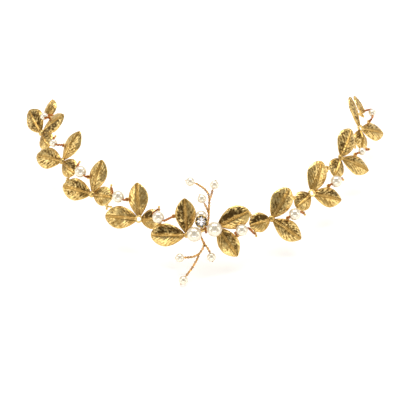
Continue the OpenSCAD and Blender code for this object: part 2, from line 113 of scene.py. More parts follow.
# Sizes in millimetres, as the CAD frame has them
STEM_HALF, LEAF_START, LEAF_TOP, ARCH = 0.75, 1.1, 0.1, 0.8
GROOVE_DEEP, GROOVE_WIDE, GUTTER_DEEP, GUTTER_WIDE = 0.3, 0.13, 0.16, 0.22
LIP_DEEP, LIP_WIDE, RIM_ROUND, COARSE_PIT, FINE_PIT = 0.12, 0.4, 0.42, 1.5, 0.8
PIN_REACH, PIN_BEHIND, PIN_R, PIN_HEAD_R = 9.6, 0.5, 0.45, 0.6
KNUCKLE_R, KNUCKLE_LONG, KNUCKLE_FROM, END_KNUCKLE_FROM = 0.95, 0.9, 4.05, 3.6
PIN_END_GAP, RUNNING_GAP, ARM_R, ARM_ELBOW = 0.1, 0.05, 0.5, 2.4
EAR_R, EAR_HOLE_R, EAR_OUT, EAR_THICK = 1.0, 0.4, 0.6, 0.8
WIRE_R, WIRE_TAIL, WIRE_STRAIGHT = 0.3, 0.3, 0.5
WRAP_PITCH, WRAP_LEAST, COIL_PITCH, COIL_REACH, COIL_EDGE = 0.44, 0.6, 0.42, 0.72, 0.9
EAR_WIND_BACK, EAR_WIND_FRONT, EAR_WIND_R, EAR_WIND_PITCH = 0.1, 0.25, 0.55, 0.45
EYE_HALF, EYE_WIRE, EYE_WIND_R, EYE_PITCH = 0.2, 0.27, 1.24, 0.56
ARM_ROOT_LEAST, ARM_ROOT_TIP_GAP, ARM_ROOT_ACROSS, ARM_ROOT_DEEP = 5, 2.5, 0.3, 0.35
HUB_R, CENTRE_HUB_R, HUB_HOLE_R, HUB_THICK = 1.9, 1.4, 1.0, 1.2
END_BEHIND, END_LEAF_ROOT, END_LEAF_LENGTH, END_LEAF_WIDTH = 2, 2.2, 9, 8.4
BAR_R, BAR_BEHIND = 0.9, 1.7
BINDING_X, BINDING_LONG, BINDING_END, BINDING_WIRE = 1.76, 1.4, 0.33, 0.26
# Each layer of the binding: how far its wire's middle stands off the bar, its pitch, and 1 or -1
# for the way along the bar that it is wound
BINDING_LAYERS = ((0.26, 0.54, 1), (0.66, 0.56, 1), (1.04, 0.5, -1), (1.36, 0.44, 1))
CRYSTAL_AT = [-0.3, 2.9, 5]
END_PEARL_ROOT, END_PEARL_AT = [4, -2.2, -0.2], [2.5, -5.6, -2.2]
UPPER_EYE_X, LOWER_EYE_X = 2.9, -1.0

# Sprig wires in the centre's frame, from their eye to their pearls
UPPER_STEM = [[2.3, 0.85, -1.9], [3, 5, 0.2], [3.2, 9, 0.6], [3.4, 12.8, 0.8]]
UPPER_BRANCHES = [
    [[3.4, 12.8, 0.8], [2.9, 15.6, 1.2], [1, 18, 1.6], [-2.6, 20.4, 1.8]],
    [[3.4, 12.8, 0.8], [4.3, 15.2, 0.9], [4.8, 17.2, 1]],
    [[3.1, 6.6, 0.4], [2.2, 9, 1.2], [1.1, 11.2, 1.7]],
]
UPPER_ENDS = (0, 1, 2)
LOWER_STEM = [[-1.1, -2.7, -1.9], [-0.4, -4.2, -1.5], [0.3, -5.6, -0.9], [0.9, -7, -0.4]]
LOWER_BRANCHES = [
    [[0.9, -7, -0.4], [2.4, -9, 0], [3.7, -11.2, 0.4]],
    [[0.9, -7, -0.4], [0.4, -9.4, 0], [-1.3, -11.9, 0.4]],
    [[-1.3, -11.9, 0.4], [-4, -13.2, 0.6], [-7.8, -13.6, 0.6]],
    [[-1.3, -11.9, 0.4], [-2.2, -14.2, 0.6], [-4.6, -18.4, 0.8], [-7.2, -21.8, 0.8]],
]
LOWER_ENDS = (0, 2, 3)


# ---- settings a user would change ----
def a_length(name, description, millimetres):
    return FloatProperty(
        name=name, description=description, default=millimetres * MM, unit="LENGTH")


def an_angle(name, description, degrees):
    return FloatProperty(
        name=name, description=description, default=math.radians(degrees), subtype="ANGLE")


def a_colour(name, description, hex_colour):
    return FloatVectorProperty(
        name=name, description=description, default=linear(hex_colour), subtype="COLOR", min=0,
        max=1)


class TiaraBandSettings(bpy.types.PropertyGroup):
    """Sizes of the head curve"""

    half_width: a_length("Half width", "Half of the width across the head curve", 87)
    half_depth: a_length("Half depth", "Half of the depth of the head curve", 113)
    lean: an_angle("Lean", "How far the leaf faces lean back from upright", 42)


class TiaraLeafSettings(bpy.types.PropertyGroup):
    """Sizes and relief of the cast leaves"""

    pointed_length: a_length(
        "Pointed leaf length", "Pointed side leaf, from the hub to its tip", 17)
    pointed_width: a_length("Pointed leaf width", "Pointed side leaf, at its widest", 9.2)
    round_length: a_length("Round leaf length", "Round side leaf, from the hub to its tip", 16.5)
    round_width: a_length("Round leaf width", "Round side leaf, at its widest", 10.4)
    hinge_length: a_length(
        "Hinge leaf length", "Short leaf over the hinge, from the hub to its tip", 11.5)
    hinge_width: a_length("Hinge leaf width", "Short leaf over the hinge, at its widest", 9)
    thickness: a_length("Thickness", "Thickness of the cast metal", 0.7)
    fold: an_angle("Fold", "Slope of a leaf away from its midrib", 14)
    rib_height: a_length("Midrib height", "How far the midrib stands out at the hub", 0.34)
    vein_height: a_length("Vein height", "How far the side veins stand out", 0.16)
    hammer_depth: a_length("Hammered depth", "Depth of the pitted, hammered surface", 0.13)
    vein_count: IntProperty(
        name="Veins", description="Side veins on each half of a leaf", default=7, min=3)


class TiaraWireSettings(bpy.types.PropertyGroup):
    """Sizes of the wound and twisted wires"""

    strand: a_length("Sprig strand", "Radius of one strand of a twisted sprig wire", 0.26)
    twist: a_length("Twist pitch", "Length of one full turn of a twisted sprig wire", 2.8)
    wrap: a_length("Wrap wire", "Radius of the copper wrapping wire", 0.19)
    sides: IntProperty(
        name="Wire sides", description="Sides of a drawn wire", default=10, min=6)


class TiaraPearlSettings(bpy.types.PropertyGroup):
    """Detail of the pearls and the crystal"""

    drill: a_length("Drill radius", "Radius of a pearl's drilled hole", 0.36)
    facets: IntProperty(
        name="Crystal facets", description="Main facets round the crystal", default=8, min=6)
    claws: IntProperty(
        name="Claws", description="Claws that hold the crystal", default=6, min=4)


class TiaraFinishSettings(bpy.types.PropertyGroup):
    """Colours of the finishes"""

    gold: a_colour("Gold", "Bright plated gold on the high parts of the leaves", "#EFD08A")
    deep_gold: a_colour("Deep gold", "Duller gold between the high parts", "#BB9450")
    # this dark brown also paints the shade on the darker half of each leaf
    antiquing_and_shade: a_colour("Antiquing", "Dark wash left in the recesses", "#4A3518")
    wire_gold: a_colour("Wire gold", "Sprig wire", "#F3C26A")
    copper: a_colour("Copper", "Wrapping and link wire", "#D08A4C")
    pearl: a_colour("Pearl", "Body colour of the pearls", "#F4EAD6")


class TiaraStageSettings(bpy.types.PropertyGroup):
    """Camera and floor"""

    elevation: an_angle("Camera elevation", "How far above the horizon the camera looks from", 48)
    distance: a_length("Camera distance", "From the camera to the front of the tiara", 600)
    focal: FloatProperty(
        name="Lens", description="Focal length of the camera in millimetres", default=117.4)


SETTINGS = {
    "tiara_band": TiaraBandSettings,
    "tiara_leaf": TiaraLeafSettings,
    "tiara_wire": TiaraWireSettings,
    "tiara_pearl": TiaraPearlSettings,
    "tiara_finish": TiaraFinishSettings,
    "tiara_stage": TiaraStageSettings,
}


# ---- frames: rows origin, x, y, z, in millimetres ----
def unit(v):
    return v / np.linalg.norm(v)


def at(f, p):
    return f[0] + np.asarray(p, float) @ f[1:]


def hub_frame(side, i):
    band = bpy.context.scene.tiara_band
    sign = 1 if side == "right" else -1
    a, b = band.half_width / MM, band.half_depth / MM
    turn, lean = math.radians(ROUND_AT[side][i]), band.lean
    tangent = unit(np.array([sign * a * math.cos(turn), b * math.sin(turn), 0]))
    outward = sign * np.array([tangent[1], -tangent[0], 0])
    up = np.array([0, 0, 1.0])
    face = outward * math.sin(lean) + up * math.cos(lean)
    rise = up * math.sin(lean) - outward * math.cos(lean)
    back = END_BEHIND if i > LINKS else 0
    place = np.array([sign * a * math.sin(turn), b * (1 - math.cos(turn)), 0])
    place = place + RISE[side][i] * rise - back * face
    return np.array([place, tangent, np.cross(face, tangent), face])


def turned(f, degrees, one=1, two=2):
    """The frame with its axis one turned towards its axis two: about its face, unless told."""
    c, s = math.cos(math.radians(degrees)), math.sin(math.radians(degrees))
    made = f.copy()
    made[one], made[two] = f[one] * c + f[two] * s, f[two] * c - f[one] * s
    return made


def shifted(f, p):
    return np.array([at(f, p), f[1], f[2], f[3]])


def pointed_frame(side, i):
    return turned(turned(hub_frame(side, i), POINTED_TURN[side][i]), POINTED_TILT[side][i], 1, 3)


def round_frame(side, i):
    flat = turned(turned(hub_frame(side, i), ROUND_TURN[side][i]), ROUND_TILT[side][i], 1, 3)
    return turned(flat, ROUND_ROLL[side][i], 2, 3)


def hinge_frame(side, j):
    """The pin lies along Y, and +X points towards the centre."""
    if j <= LINKS:
        return shifted(turned(hub_frame(side, j), HINGE_TURN[side][j]), [PIN_REACH, 0, -PIN_BEHIND])
    return shifted(turned(round_frame(side, j), 180), [0, 0, -PIN_BEHIND])


def centre_frame():
    lean = bpy.context.scene.tiara_band.lean
    c, s = math.cos(lean), math.sin(lean)
    return np.array([[0, 0, 0], [1, 0, 0], [0, c, s], [0, -s, c]])


def bar_frame():
    """The middle of the bar behind the centre: X along it to the right, Z forward."""
    ends = [at(hub_frame(side, 0), [0, 0, -BAR_BEHIND]) for side in SIDES]
    along, face = unit(ends[1] - ends[0]), centre_frame()[3]
    face = unit(face - along * (face @ along))
    return np.array([(ends[0] + ends[1]) / 2, along, np.cross(face, along), face])


def frame_along(start, towards):
    """A frame at start whose Z points at towards."""
    z = unit(towards - start)
    x = unit(np.cross(z, [0.3, 0.5, 0.8]))
    return np.array([start, x, np.cross(z, x), z])


# ---- leaf shape ----
def leaf_form(kind):
    """Length, width, how far out it is widest, how full its ends are, half width of its tip."""
    leaf = bpy.context.scene.tiara_leaf
    return {
        "pointed": (leaf.pointed_length / MM, leaf.pointed_width / MM, 1.22, 0.74, 0.12),
        "round": (leaf.round_length / MM, leaf.round_width / MM, 1.25, 0.6, 0.45),
        "hinge": (leaf.hinge_length / MM, leaf.hinge_width / MM, 1.05, 0.62, 0.35),
        "end": (END_LEAF_LENGTH + END_LEAF_ROOT, END_LEAF_WIDTH, 1, 0.75, 0.2),
    }[kind]


def half_width(u, width, skew, blunt, tip):
    bow = np.sin(np.pi * np.clip(u, 0, 1) ** skew).clip(0) ** blunt
    return STEM_HALF * (1 - u) + tip * u + (width / 2 - tip) * bow


def smooth_z(u, y):
    fold = bpy.context.scene.tiara_leaf.fold
    return LEAF_TOP + ARCH * np.sin(np.pi * u) - math.tan(fold) * abs(y)


def ramp(x, low, high):
    t = np.clip((x - low) / (high - low), 0, 1)
    return t * t * (3 - 2 * t)


def grain(x, y, size, seed):
    """Smooth random heights between -1 and 1 with lumps of about that size."""
    flat = zip(np.ravel(x) / size, np.ravel(y) / size)
    return np.array([noise.noise((a, b, 3.7 * seed)) for a, b in flat]).reshape(np.shape(x))


class Shells:
    """The closed shells of one piece, with how recessed each point is and how much dark antique
    finish and painted shade it carries.
    """

    def __init__(self):
        self.points, self.faces, self.recess, self.dark, self.count = [], [], [], [], 0

    def add(self, points, faces, recess=0.25, dark=0.15):
        n = len(points)
        self.points.append(np.asarray(points, float))
        self.faces += [[k + self.count for k in f] for f in faces]
        self.recess.append(np.broadcast_to(recess, n))
        self.dark.append(np.broadcast_to(dark, n))
        self.count += n

    def piece(self, name, material, smooth=True):
        mesh = bpy.data.meshes.new(name)
        mesh.from_pydata((np.concatenate(self.points) * MM).tolist(), [], self.faces)
        for attribute, values in (("recess", self.recess), ("dark_finish_and_painted_shade", self.dark)):
            layer = mesh.attributes.new(attribute, "FLOAT", "POINT")
            layer.data.foreach_set("value", np.concatenate(values).astype(np.float32))
        mesh.polygons.foreach_set("use_smooth", [smooth] * len(mesh.polygons))
        mesh.materials.append(material)
        mesh.update()
        piece = bpy.data.objects.new(name, mesh)
        bpy.context.scene.collection.objects.link(piece)
        return piece


def grid_faces(rows, columns, wrap=False):
    """Quads of a grid whose rows run along and whose columns run across."""
    across = columns if wrap else columns - 1
    return [
        [i * columns + j, (i + 1) * columns + j,
         (i + 1) * columns + (j + 1) % columns, i * columns + (j + 1) % columns]
        for i in range(rows - 1) for j in range(across)
    ]


def leaf_blade(shells, kind, place, dark, seed, steps=76, across=56):
    """One leaf with a grooved midrib, fanned side veins, pitted skin and a rounded rim."""
    leaf = bpy.context.scene.tiara_leaf
    length, *outline = leaf_form(kind)
    thick = leaf.thickness / MM
    s, t = np.meshgrid(np.linspace(0, 1, steps + 1), np.linspace(-1, 1, across + 1), indexing="ij")
    u = 1 - (1 - s) ** 1.2
    v = t - 0.075 * np.sin(2 * np.pi * t)
    x = LEAF_START + u * (length - LEAF_START)
    side = np.where(v < 0, -1.0, 1.0)
    lobe = abs(v)
    half = half_width(u, *outline)
    half = half * (1 + 0.03 * grain(4.5 * u, 2 * side, 1, seed) * ramp(u, 0.15, 0.4))
    y = v * half
    middle = smooth_z(u, y) + 0.3 * np.sin(np.pi * lobe) * np.sin(np.pi * u)
    middle = middle + 0.35 * grain(x, y, 6, seed + 40) * ramp(u, 0.1, 0.5)
    # a rib like a split cord, lower towards the tip
    rib_wide = 0.5 - 0.22 * u
    rib = leaf.rib_height / MM * (1 - 0.5 * u) * np.exp(-((y / rib_wide) ** 4))
    groove = GROOVE_DEEP * (1 - 0.4 * u) * np.exp(-((y / GROOVE_WIDE) ** 2))
    gutter = GUTTER_DEEP * np.exp(-(((abs(y) - 1.5 * rib_wide) / GUTTER_WIDE) ** 2))
    # veins leave the rib at a small angle and fan out to the rim
    warp = 0.05 * grain(x, y, 3, seed + 7)
    phase = (u - 0.4 * lobe**1.25 + warp) * leaf.vein_count
    ridge = (0.5 + 0.5 * np.cos(2 * np.pi * phase)) ** 2
    fan = ramp(lobe, 0.12, 0.35) * (1 - ramp(lobe, 0.82, 1)) * ramp(u, 0.04, 0.2)
    strength = 0.5 + 0.5 * grain(x, y, 4, seed + 11)
    veins = leaf.vein_height / MM * (ridge - 0.35) * fan * strength
    # painted shade: each half's share of dark antique finish, from the tables of painted shade per
    # half; it also deepens the hammering
    half_shade = np.where(side > 0, dark[0], dark[1])
    pitted = 0.35 + 0.85 * half_shade
    hammer = leaf.hammer_depth / MM * pitted * (
        0.8 * grain(x, y, COARSE_PIT, seed + 19) + 0.9 * grain(x, y, FINE_PIT, seed + 23))
    tip_gap = (1 - u) * (length - LEAF_START)
    edge = np.minimum(np.minimum((1 - lobe) * half, tip_gap), u * length)
    lip = -LIP_DEEP * np.exp(-((edge / LIP_WIDE) ** 2))
    relief = veins + hammer - gutter
    high = middle + rib - groove + relief + lip
    low = middle - thick + 0.06 * grain(x, y, 1.3, seed + 31) + 0.25 * rib
    # the rim is rounded over
    centre = middle - thick / 2
    swell = np.sqrt(1 - (1 - np.clip(edge / RIM_ROUND, 0, 1)) ** 2)
    high = centre + (high - centre) * swell
    low = centre + (low - centre) * swell
    # the wash stays in the pits, the groove and the root, and is wiped off the rim
    worn = ramp(edge, 0.02, 0.3)
    recess = np.clip(0.36 - relief / 0.2, 0, 1) * worn + 0.9 * np.exp(-((y / 0.14) ** 2)) * worn
    root = 0.8 * np.exp(-((x - LEAF_START) / 2.6)) * (1 - np.exp(-((y / 0.6) ** 2)))
    recess = np.clip(recess + root, 0, 1)
    # painted shade in random patches: each half's painted shade plus a little real dark finish,
    # kept off the midrib, the rim and the tip
    patch = 0.65 + 0.45 * grain(x, y, 3.4, seed + 53) + 0.5 * grain(x, y, 0.9, seed + 61)
    dark_at = (half_shade + 0.08) * np.clip(patch + 0.25, 0, 1.2) * ramp(lobe, 0.08, 0.26)
    dark_at = dark_at * (1 - 0.85 * ramp(lobe, 0.62, 0.95)) * (1 - 0.6 * ramp(u, 0.7, 0.95))
    dark_at = dark_at * (0.45 + 0.55 * ramp(u, 0.08, 0.3))
    rows, columns = steps + 1, across + 1
    top = np.stack([x, y, high], -1).reshape(-1, 3)
    under = np.stack([x, y, low], -1).reshape(-1, 3)
    number = np.arange(rows * columns).reshape(rows, columns)
    inner = np.zeros((rows, columns), bool)
    inner[1:-1, 1:-1] = True
    below = number.copy()
    below[inner] = rows * columns + np.arange(inner.sum())
    faces = grid_faces(rows, columns)
    flat_below = below.ravel()
    back = [[int(flat_below[k]) for k in reversed(f)] for f in faces]
    kept = inner.ravel()
    shells.add(
        at(place, np.concatenate([top, under[kept]])), faces + back,
        np.concatenate([recess.ravel(), 0.35 + 0 * x.ravel()[kept]]),
        np.concatenate([dark_at.ravel(), 0.35 + 0.3 * patch.ravel()[kept]]))


# ---- turned and drawn forms ----
def lathe(shells, place, profile, sides=32, looped=False, recess=0.2, dark=0.15):
    """Turns (radius, height) points about the place's Z; a looped profile makes a ring."""
    turn = np.arange(sides) * 2 * np.pi / sides
    rows, points = [], []
    for r, h in profile:
        if r < 1e-6:
            rows.append([len(points)] * sides)
            points.append([0, 0, h])
        else:
            rows.append(list(range(len(points), len(points) + sides)))
            points += [[r * math.cos(a), r * math.sin(a), h] for a in turn]
    if looped:
        rows.append(rows[0])
    faces = []
    for lower, upper in zip(rows, rows[1:]):
        for k in range(sides):
            m = (k + 1) % sides
            face = [lower[k], lower[m], upper[m], upper[k]]
            face = [q for n, q in enumerate(face) if q != face[n - 1]]
            faces.append(face)
    points = np.array(points)
    # heights that fall as the profile goes on would turn the shell inside out
    size = 0.0
    for face in faces:
        for n in range(1, len(face) - 1):
            size += np.dot(points[face[0]], np.cross(points[face[n]], points[face[n + 1]]))
    if size < 0:
        faces = [face[::-1] for face in faces]
    shells.add(at(place, points), faces, recess, dark)


def rounded_ring(inner, outer, low, high, soft):
    """The looped profile of a ring with soft corners."""
    corners = [(inner, low, 1, 1), (outer, low, -1, 1), (outer, high, -1, -1), (inner, high, 1, -1)]
    starts = (180, 270, 0, 90)
    out = []
    for (r, h, dr, dh), start in zip(corners, starts):
        for k in range(4):
            a = math.radians(start + 30 * k)
            out.append((r + dr * soft + soft * math.cos(a), h + dh * soft + soft * math.sin(a)))
    return out


def flowing(points, step=0.25):
    """A smooth path through the points, in short steps."""
    p = np.array(points, float)
    if len(p) == 2:
        n = max(2, int(np.linalg.norm(p[1] - p[0]) / step))
        return p[0] + (p[1] - p[0]) * np.linspace(0, 1, n + 1)[:, None]
    out = []
    for i in range(len(p) - 1):
        a, b = p[i], p[i + 1]
        before = p[i - 1] if i else 2 * a - b
        after = p[i + 2] if i + 2 < len(p) else 2 * b - a
        span = np.linalg.norm(b - a)
        m0 = (b - before) / (span + np.linalg.norm(a - before)) * span
        m1 = (after - a) / (span + np.linalg.norm(after - b)) * span
        t = np.linspace(0, 1, max(2, int(span / step)) + 1)[:-1, None]
        out.append((2 * t**3 - 3 * t**2 + 1) * a + (t**3 - 2 * t**2 + t) * m0
                   + (3 * t**2 - 2 * t**3) * b + (t**3 - t**2) * m1)
    return np.concatenate(out + [p[-1:]])


def drawn(shells, points, radius, sides=14, recess=0.2, dark=0.15):
    """A round bar along a flowing path, with domed ends."""
    path = flowing(points)
    ways = np.gradient(path, axis=0)
    ways /= np.linalg.norm(ways, axis=1)[:, None]
    across = unit(np.cross(ways[0], [0.3, 0.5, 0.8]))
    rings = []
    dome = [0.35, 0.8]
    for k in range(len(path)):
        across = unit(across - ways[k] * (across @ ways[k]))
        other = np.cross(ways[k], across)
        shrink = dome[k] if k < 2 else dome[len(path) - 1 - k] if k > len(path) - 3 else 1
        for n in range(sides):
            a = 2 * np.pi * n / sides
            rings.append(path[k] + radius * shrink * (math.cos(a) * across + math.sin(a) * other))
    faces = [f[::-1] for f in grid_faces(len(path), sides, wrap=True)]
    tip = len(rings)
    rings += [path[0] - 0.15 * radius * ways[0], path[-1] + 0.15 * radius * ways[-1]]
    last = (len(path) - 1) * sides
    for n in range(sides):
        m = (n + 1) % sides
        faces.append([tip, m, n])
        faces.append([tip + 1, last + n, last + m])
    shells.add(rings, faces, recess, dark)


# ---- node helpers ----
def add_node(tree, kind, inputs=None, **settings):
    """Adds a node, sets its properties, then sets the inputs named, or links them to an output.
    A node given as an input stands for its first output."""
    made = tree.nodes.new(kind)
    for key, value in settings.items():
        setattr(made, key, value)
    for key, value in (inputs or {}).items():
        socket = made.inputs[key]
        if isinstance(value, bpy.types.Node):
            value = value.outputs[0]
        if isinstance(value, bpy.types.NodeSocket):
            tree.links.new(value, socket)
        else:
            socket.default_value = value
    return made


def new_material(name):
    """An empty material, what adds a node to it, and the place on the piece, in metres."""
    made = bpy.data.materials.new(name)
    made.use_nodes = True
    made.node_tree.nodes.clear()
    add = partial(add_node, made.node_tree)
    return made, add, add("ShaderNodeTexCoord").outputs["Object"]


def colour4(colour):
    return (*colour, 1)


def antique_gold():
    """Gold plate over a cast white metal, washed dark and wiped back: bright where a cloth
    reaches, speckled brown in the pits, a little rough all over; each half of a leaf also carries
    painted shade, laid on as the same dark brown."""
    finish = bpy.context.scene.tiara_finish
    material, add, place = new_material("gold_casting_with_painted_shade")
    recess = add("ShaderNodeAttribute", attribute_name="recess").outputs["Fac"]
    dark = add("ShaderNodeAttribute", attribute_name="dark_finish_and_painted_shade").outputs["Fac"]
    # pits of about 0.45 mm and blotches of about 4 mm: a scale is in lumps per metre
    pits = add("ShaderNodeTexNoise",
               {"Vector": place, "Scale": 2.2 / MM, "Detail": 3.0, "Roughness": 0.6})
    blotch = add("ShaderNodeTexNoise", {"Vector": place, "Scale": 0.26 / MM, "Detail": 2.0})
    # the dark attribute adds each leaf half's painted shade to the recesses, so the brown speckle
    # also paints shade
    depth = add("ShaderNodeMath", {0: recess, 1: 0.62, 2: dark}, operation="MULTIPLY_ADD")
    speckle = add("ShaderNodeMath", {0: pits, 1: 1.5, 2: depth}, operation="MULTIPLY_ADD")
    wash_and_shade = add("ShaderNodeMapRange",
               {"Value": speckle, "From Min": 1.28, "From Max": 1.95, "To Min": 0.0,
                "To Max": 0.94}, interpolation_type="SMOOTHSTEP")
    tone = add("ShaderNodeMath", {0: recess, 1: 0.9, 2: blotch}, operation="MULTIPLY_ADD")
    duller = add("ShaderNodeMapRange", {"Value": tone, "From Min": 0.5, "From Max": 1.25},
                 interpolation_type="SMOOTHSTEP")
    plate = add("ShaderNodeMix",
                {"Factor": duller, 6: colour4(finish.gold), 7: colour4(finish.deep_gold)},
                data_type="RGBA").outputs[2]
    colour = add("ShaderNodeMix", {"Factor": wash_and_shade, 6: plate, 7: colour4(finish.antiquing_and_shade)},
                 data_type="RGBA").outputs[2]
    rough = add("ShaderNodeMapRange",
                {"Value": speckle, "From Min": 0.6, "From Max": 1.9, "To Min": 0.15,
                 "To Max": 0.46})
    # a fine cast skin of about 0.2 mm
    skin = add("ShaderNodeTexNoise", {"Vector": place, "Scale": 4.6 / MM, "Detail": 2.0})
    bump = add("ShaderNodeBump", {"Strength": 0.22, "Distance": 0.06 * MM, "Height": skin})
    shader = add("ShaderNodeBsdfPrincipled",
                 {"Base Color": colour, "Metallic": 1.0, "Roughness": rough, "Normal": bump})
    add("ShaderNodeOutputMaterial", {"Surface": shader})
    return material


def satin_gold():
    """Soldered brass frame and cup, gold plated and lightly brushed: smoother than the leaves."""
    finish = bpy.context.scene.tiara_finish
    material, add, place = new_material("plated_gold_findings")
    # rub marks of about 0.6 mm
    rub = add("ShaderNodeTexNoise", {"Vector": place, "Scale": 1.7 / MM, "Detail": 3.0})
    colour = add("ShaderNodeMix",
                 {"Factor": rub, 6: colour4(finish.gold), 7: colour4(finish.deep_gold)},
                 data_type="RGBA").outputs[2]
    rough = add("ShaderNodeMapRange", {"Value": rub, "To Min": 0.16, "To Max": 0.36})
    bump = add("ShaderNodeBump", {"Strength": 0.2, "Distance": 0.04 * MM, "Height": rub})
    shader = add("ShaderNodeBsdfPrincipled",
                 {"Base Color": colour, "Metallic": 1.0, "Roughness": rough, "Normal": bump})
    add("ShaderNodeOutputMaterial", {"Surface": shader})
    return material


def drawn_wire(name, colour, shade, low, high):
    """Drawn wire: smooth and glossy, with a darker, duller tint where it was bent and handled."""
    material, add, place = new_material(name)
    # handling marks of about 1 mm
    marks = add("ShaderNodeTexNoise", {"Vector": place, "Scale": 1 / MM, "Detail": 3.0})
    tint = add("ShaderNodeMapRange", {"Value": marks, "From Min": 0.35, "From Max": 0.7},
               interpolation_type="SMOOTHSTEP")
    mixed = add("ShaderNodeMix", {"Factor": tint, 6: colour4(colour), 7: colour4(shade)},
                data_type="RGBA").outputs[2]
    rough = add("ShaderNodeMapRange", {"Value": marks, "To Min": low, "To Max": high})
    bump = add("ShaderNodeBump", {"Strength": 0.15, "Distance": 0.03 * MM, "Height": marks})
    shader = add("ShaderNodeBsdfPrincipled",
                 {"Base Color": mixed, "Metallic": 1.0, "Roughness": rough, "Normal": bump})
    add("ShaderNodeOutputMaterial", {"Surface": shader})
    return material


def pearl_nacre():
    """Nacre-coated glass pearl: milky ivory body under a clear, glossy skin, with soft clouds
    and the faintest ripple."""
    finish = bpy.context.scene.tiara_finish
    material, add, place = new_material("ivory_glass_pearl")
    # clouds of about 2 mm
    cloud = add("ShaderNodeTexNoise", {"Vector": place, "Scale": 0.52 / MM, "Detail": 2.0})
    soft = add("ShaderNodeMapRange", {"Value": cloud, "From Min": 0.3, "From Max": 0.75})
    body = add("ShaderNodeMix",
               {"Factor": soft, 6: colour4(finish.pearl), 7: colour4(linear("#E9DCC4"))},
               data_type="RGBA").outputs[2]
    rim = add("ShaderNodeLayerWeight", {"Blend": 0.32}).outputs["Facing"]
    rough = add("ShaderNodeMapRange", {"Value": rim, "To Min": 0.16, "To Max": 0.32})
    bump = add("ShaderNodeBump", {"Strength": 0.08, "Distance": 0.05 * MM, "Height": cloud})
    shader = add("ShaderNodeBsdfPrincipled",
                 {"Base Color": body, "Roughness": rough, "Normal": bump, "Metallic": 0.5,
                  "IOR": 1.6, "Coat Weight": 0.7, "Coat Roughness": 0.06, "Coat IOR": 1.6,
                  "Sheen Weight": 0.12, "Sheen Roughness": 0.4,
                  "Sheen Tint": colour4(linear("#F3D9B4"))})
    add("ShaderNodeOutputMaterial", {"Surface": shader})
    return material


def cut_crystal():
    """Lead crystal, machine cut and polished: clear and sharp edged."""
    material, add, place = new_material("cut_lead_crystal")
    # polishing haze of about 0.8 mm
    haze = add("ShaderNodeTexNoise", {"Vector": place, "Scale": 1.2 / MM, "Detail": 2.0})
    rough = add("ShaderNodeMapRange", {"Value": haze, "To Min": 0.0, "To Max": 0.03})
    shader = add("ShaderNodeBsdfPrincipled",
                 {"Base Color": colour4(linear("#FBFCFF")), "Roughness": rough, "IOR": 1.56,
                  "Transmission Weight": 1.0})
    add("ShaderNodeOutputMaterial", {"Surface": shader})
    return material


def mirror_foil():
    """Silver foil behind the crystal's facets: a mirror that throws the light back out."""
    material, add, place = new_material("silver_foil_backing")
    # brush marks of about 0.5 mm
    marks = add("ShaderNodeTexNoise", {"Vector": place, "Scale": 2 / MM, "Detail": 1.0})
    rough = add("ShaderNodeMapRange", {"Value": marks, "To Min": 0.02, "To Max": 0.1})
    shader = add("ShaderNodeBsdfPrincipled",
                 {"Base Color": colour4(linear("#E8E8EC")), "Metallic": 1.0, "Roughness": rough})
    add("ShaderNodeOutputMaterial", {"Surface": shader})
    return material


def studio_floor():
    """Matt white acrylic light table, lit from below: even, with the faintest tooth."""
    material, add, place = new_material("lit_white_acrylic")
    # tooth of about 1.1 mm
    tooth = add("ShaderNodeTexNoise", {"Vector": place, "Scale": 0.9 / MM})
    colour = add("ShaderNodeMix",
                 {"Factor": tooth, 6: colour4(linear("#F7F7F6")), 7: colour4(linear("#F3F3F1"))},
                 data_type="RGBA").outputs[2]
    shader = add("ShaderNodeBsdfPrincipled",
                 {"Base Color": colour, "Roughness": 0.9, "Specular IOR Level": 0.2,
                  "Emission Color": colour4(linear("#FFFFFF")), "Emission Strength": 0.3})
    add("ShaderNodeOutputMaterial", {"Surface": shader})
    return material


MAKERS = {
    "leaf": antique_gold,
    "findings": satin_gold,
    "pearl": pearl_nacre,
    "crystal": cut_crystal,
    "foil": mirror_foil,
    "floor": studio_floor,
    "sprig": lambda: drawn_wire("gold_drawn_wire", bpy.context.scene.tiara_finish.wire_gold,
                                linear("#94602A"), 0.2, 0.38),
    "copper": lambda: drawn_wire("copper_drawn_wire", bpy.context.scene.tiara_finish.copper,
                                 linear("#8A4C22"), 0.24, 0.42),
}
MADE = {}


def material(name):
    if name not in MADE:
        MADE[name] = MAKERS[name]()
    return MADE[name]


# ---- wound wire and claws, by geometry nodes ----
# What each run of wire carries along its path, and as what kind of number
RUN_NUMBERS = {"gauge": "FLOAT", "wind": "FLOAT", "pitch": "FLOAT", "strands": "INT"}


def new_tree(name, values):
    """A node tree with these inputs beside its geometry, what adds a node to it, and its inputs."""
    made = bpy.data.node_groups.new(name, "GeometryNodeTree")
    for key, kind in {"Geometry": "Geometry", **values}.items():
        made.interface.new_socket(key, in_out="INPUT", socket_type="NodeSocket" + kind)
    made.interface.new_socket("Geometry", in_out="OUTPUT", socket_type="NodeSocketGeometry")
    add = partial(add_node, made)
    return made, add, add("NodeGroupInput").outputs


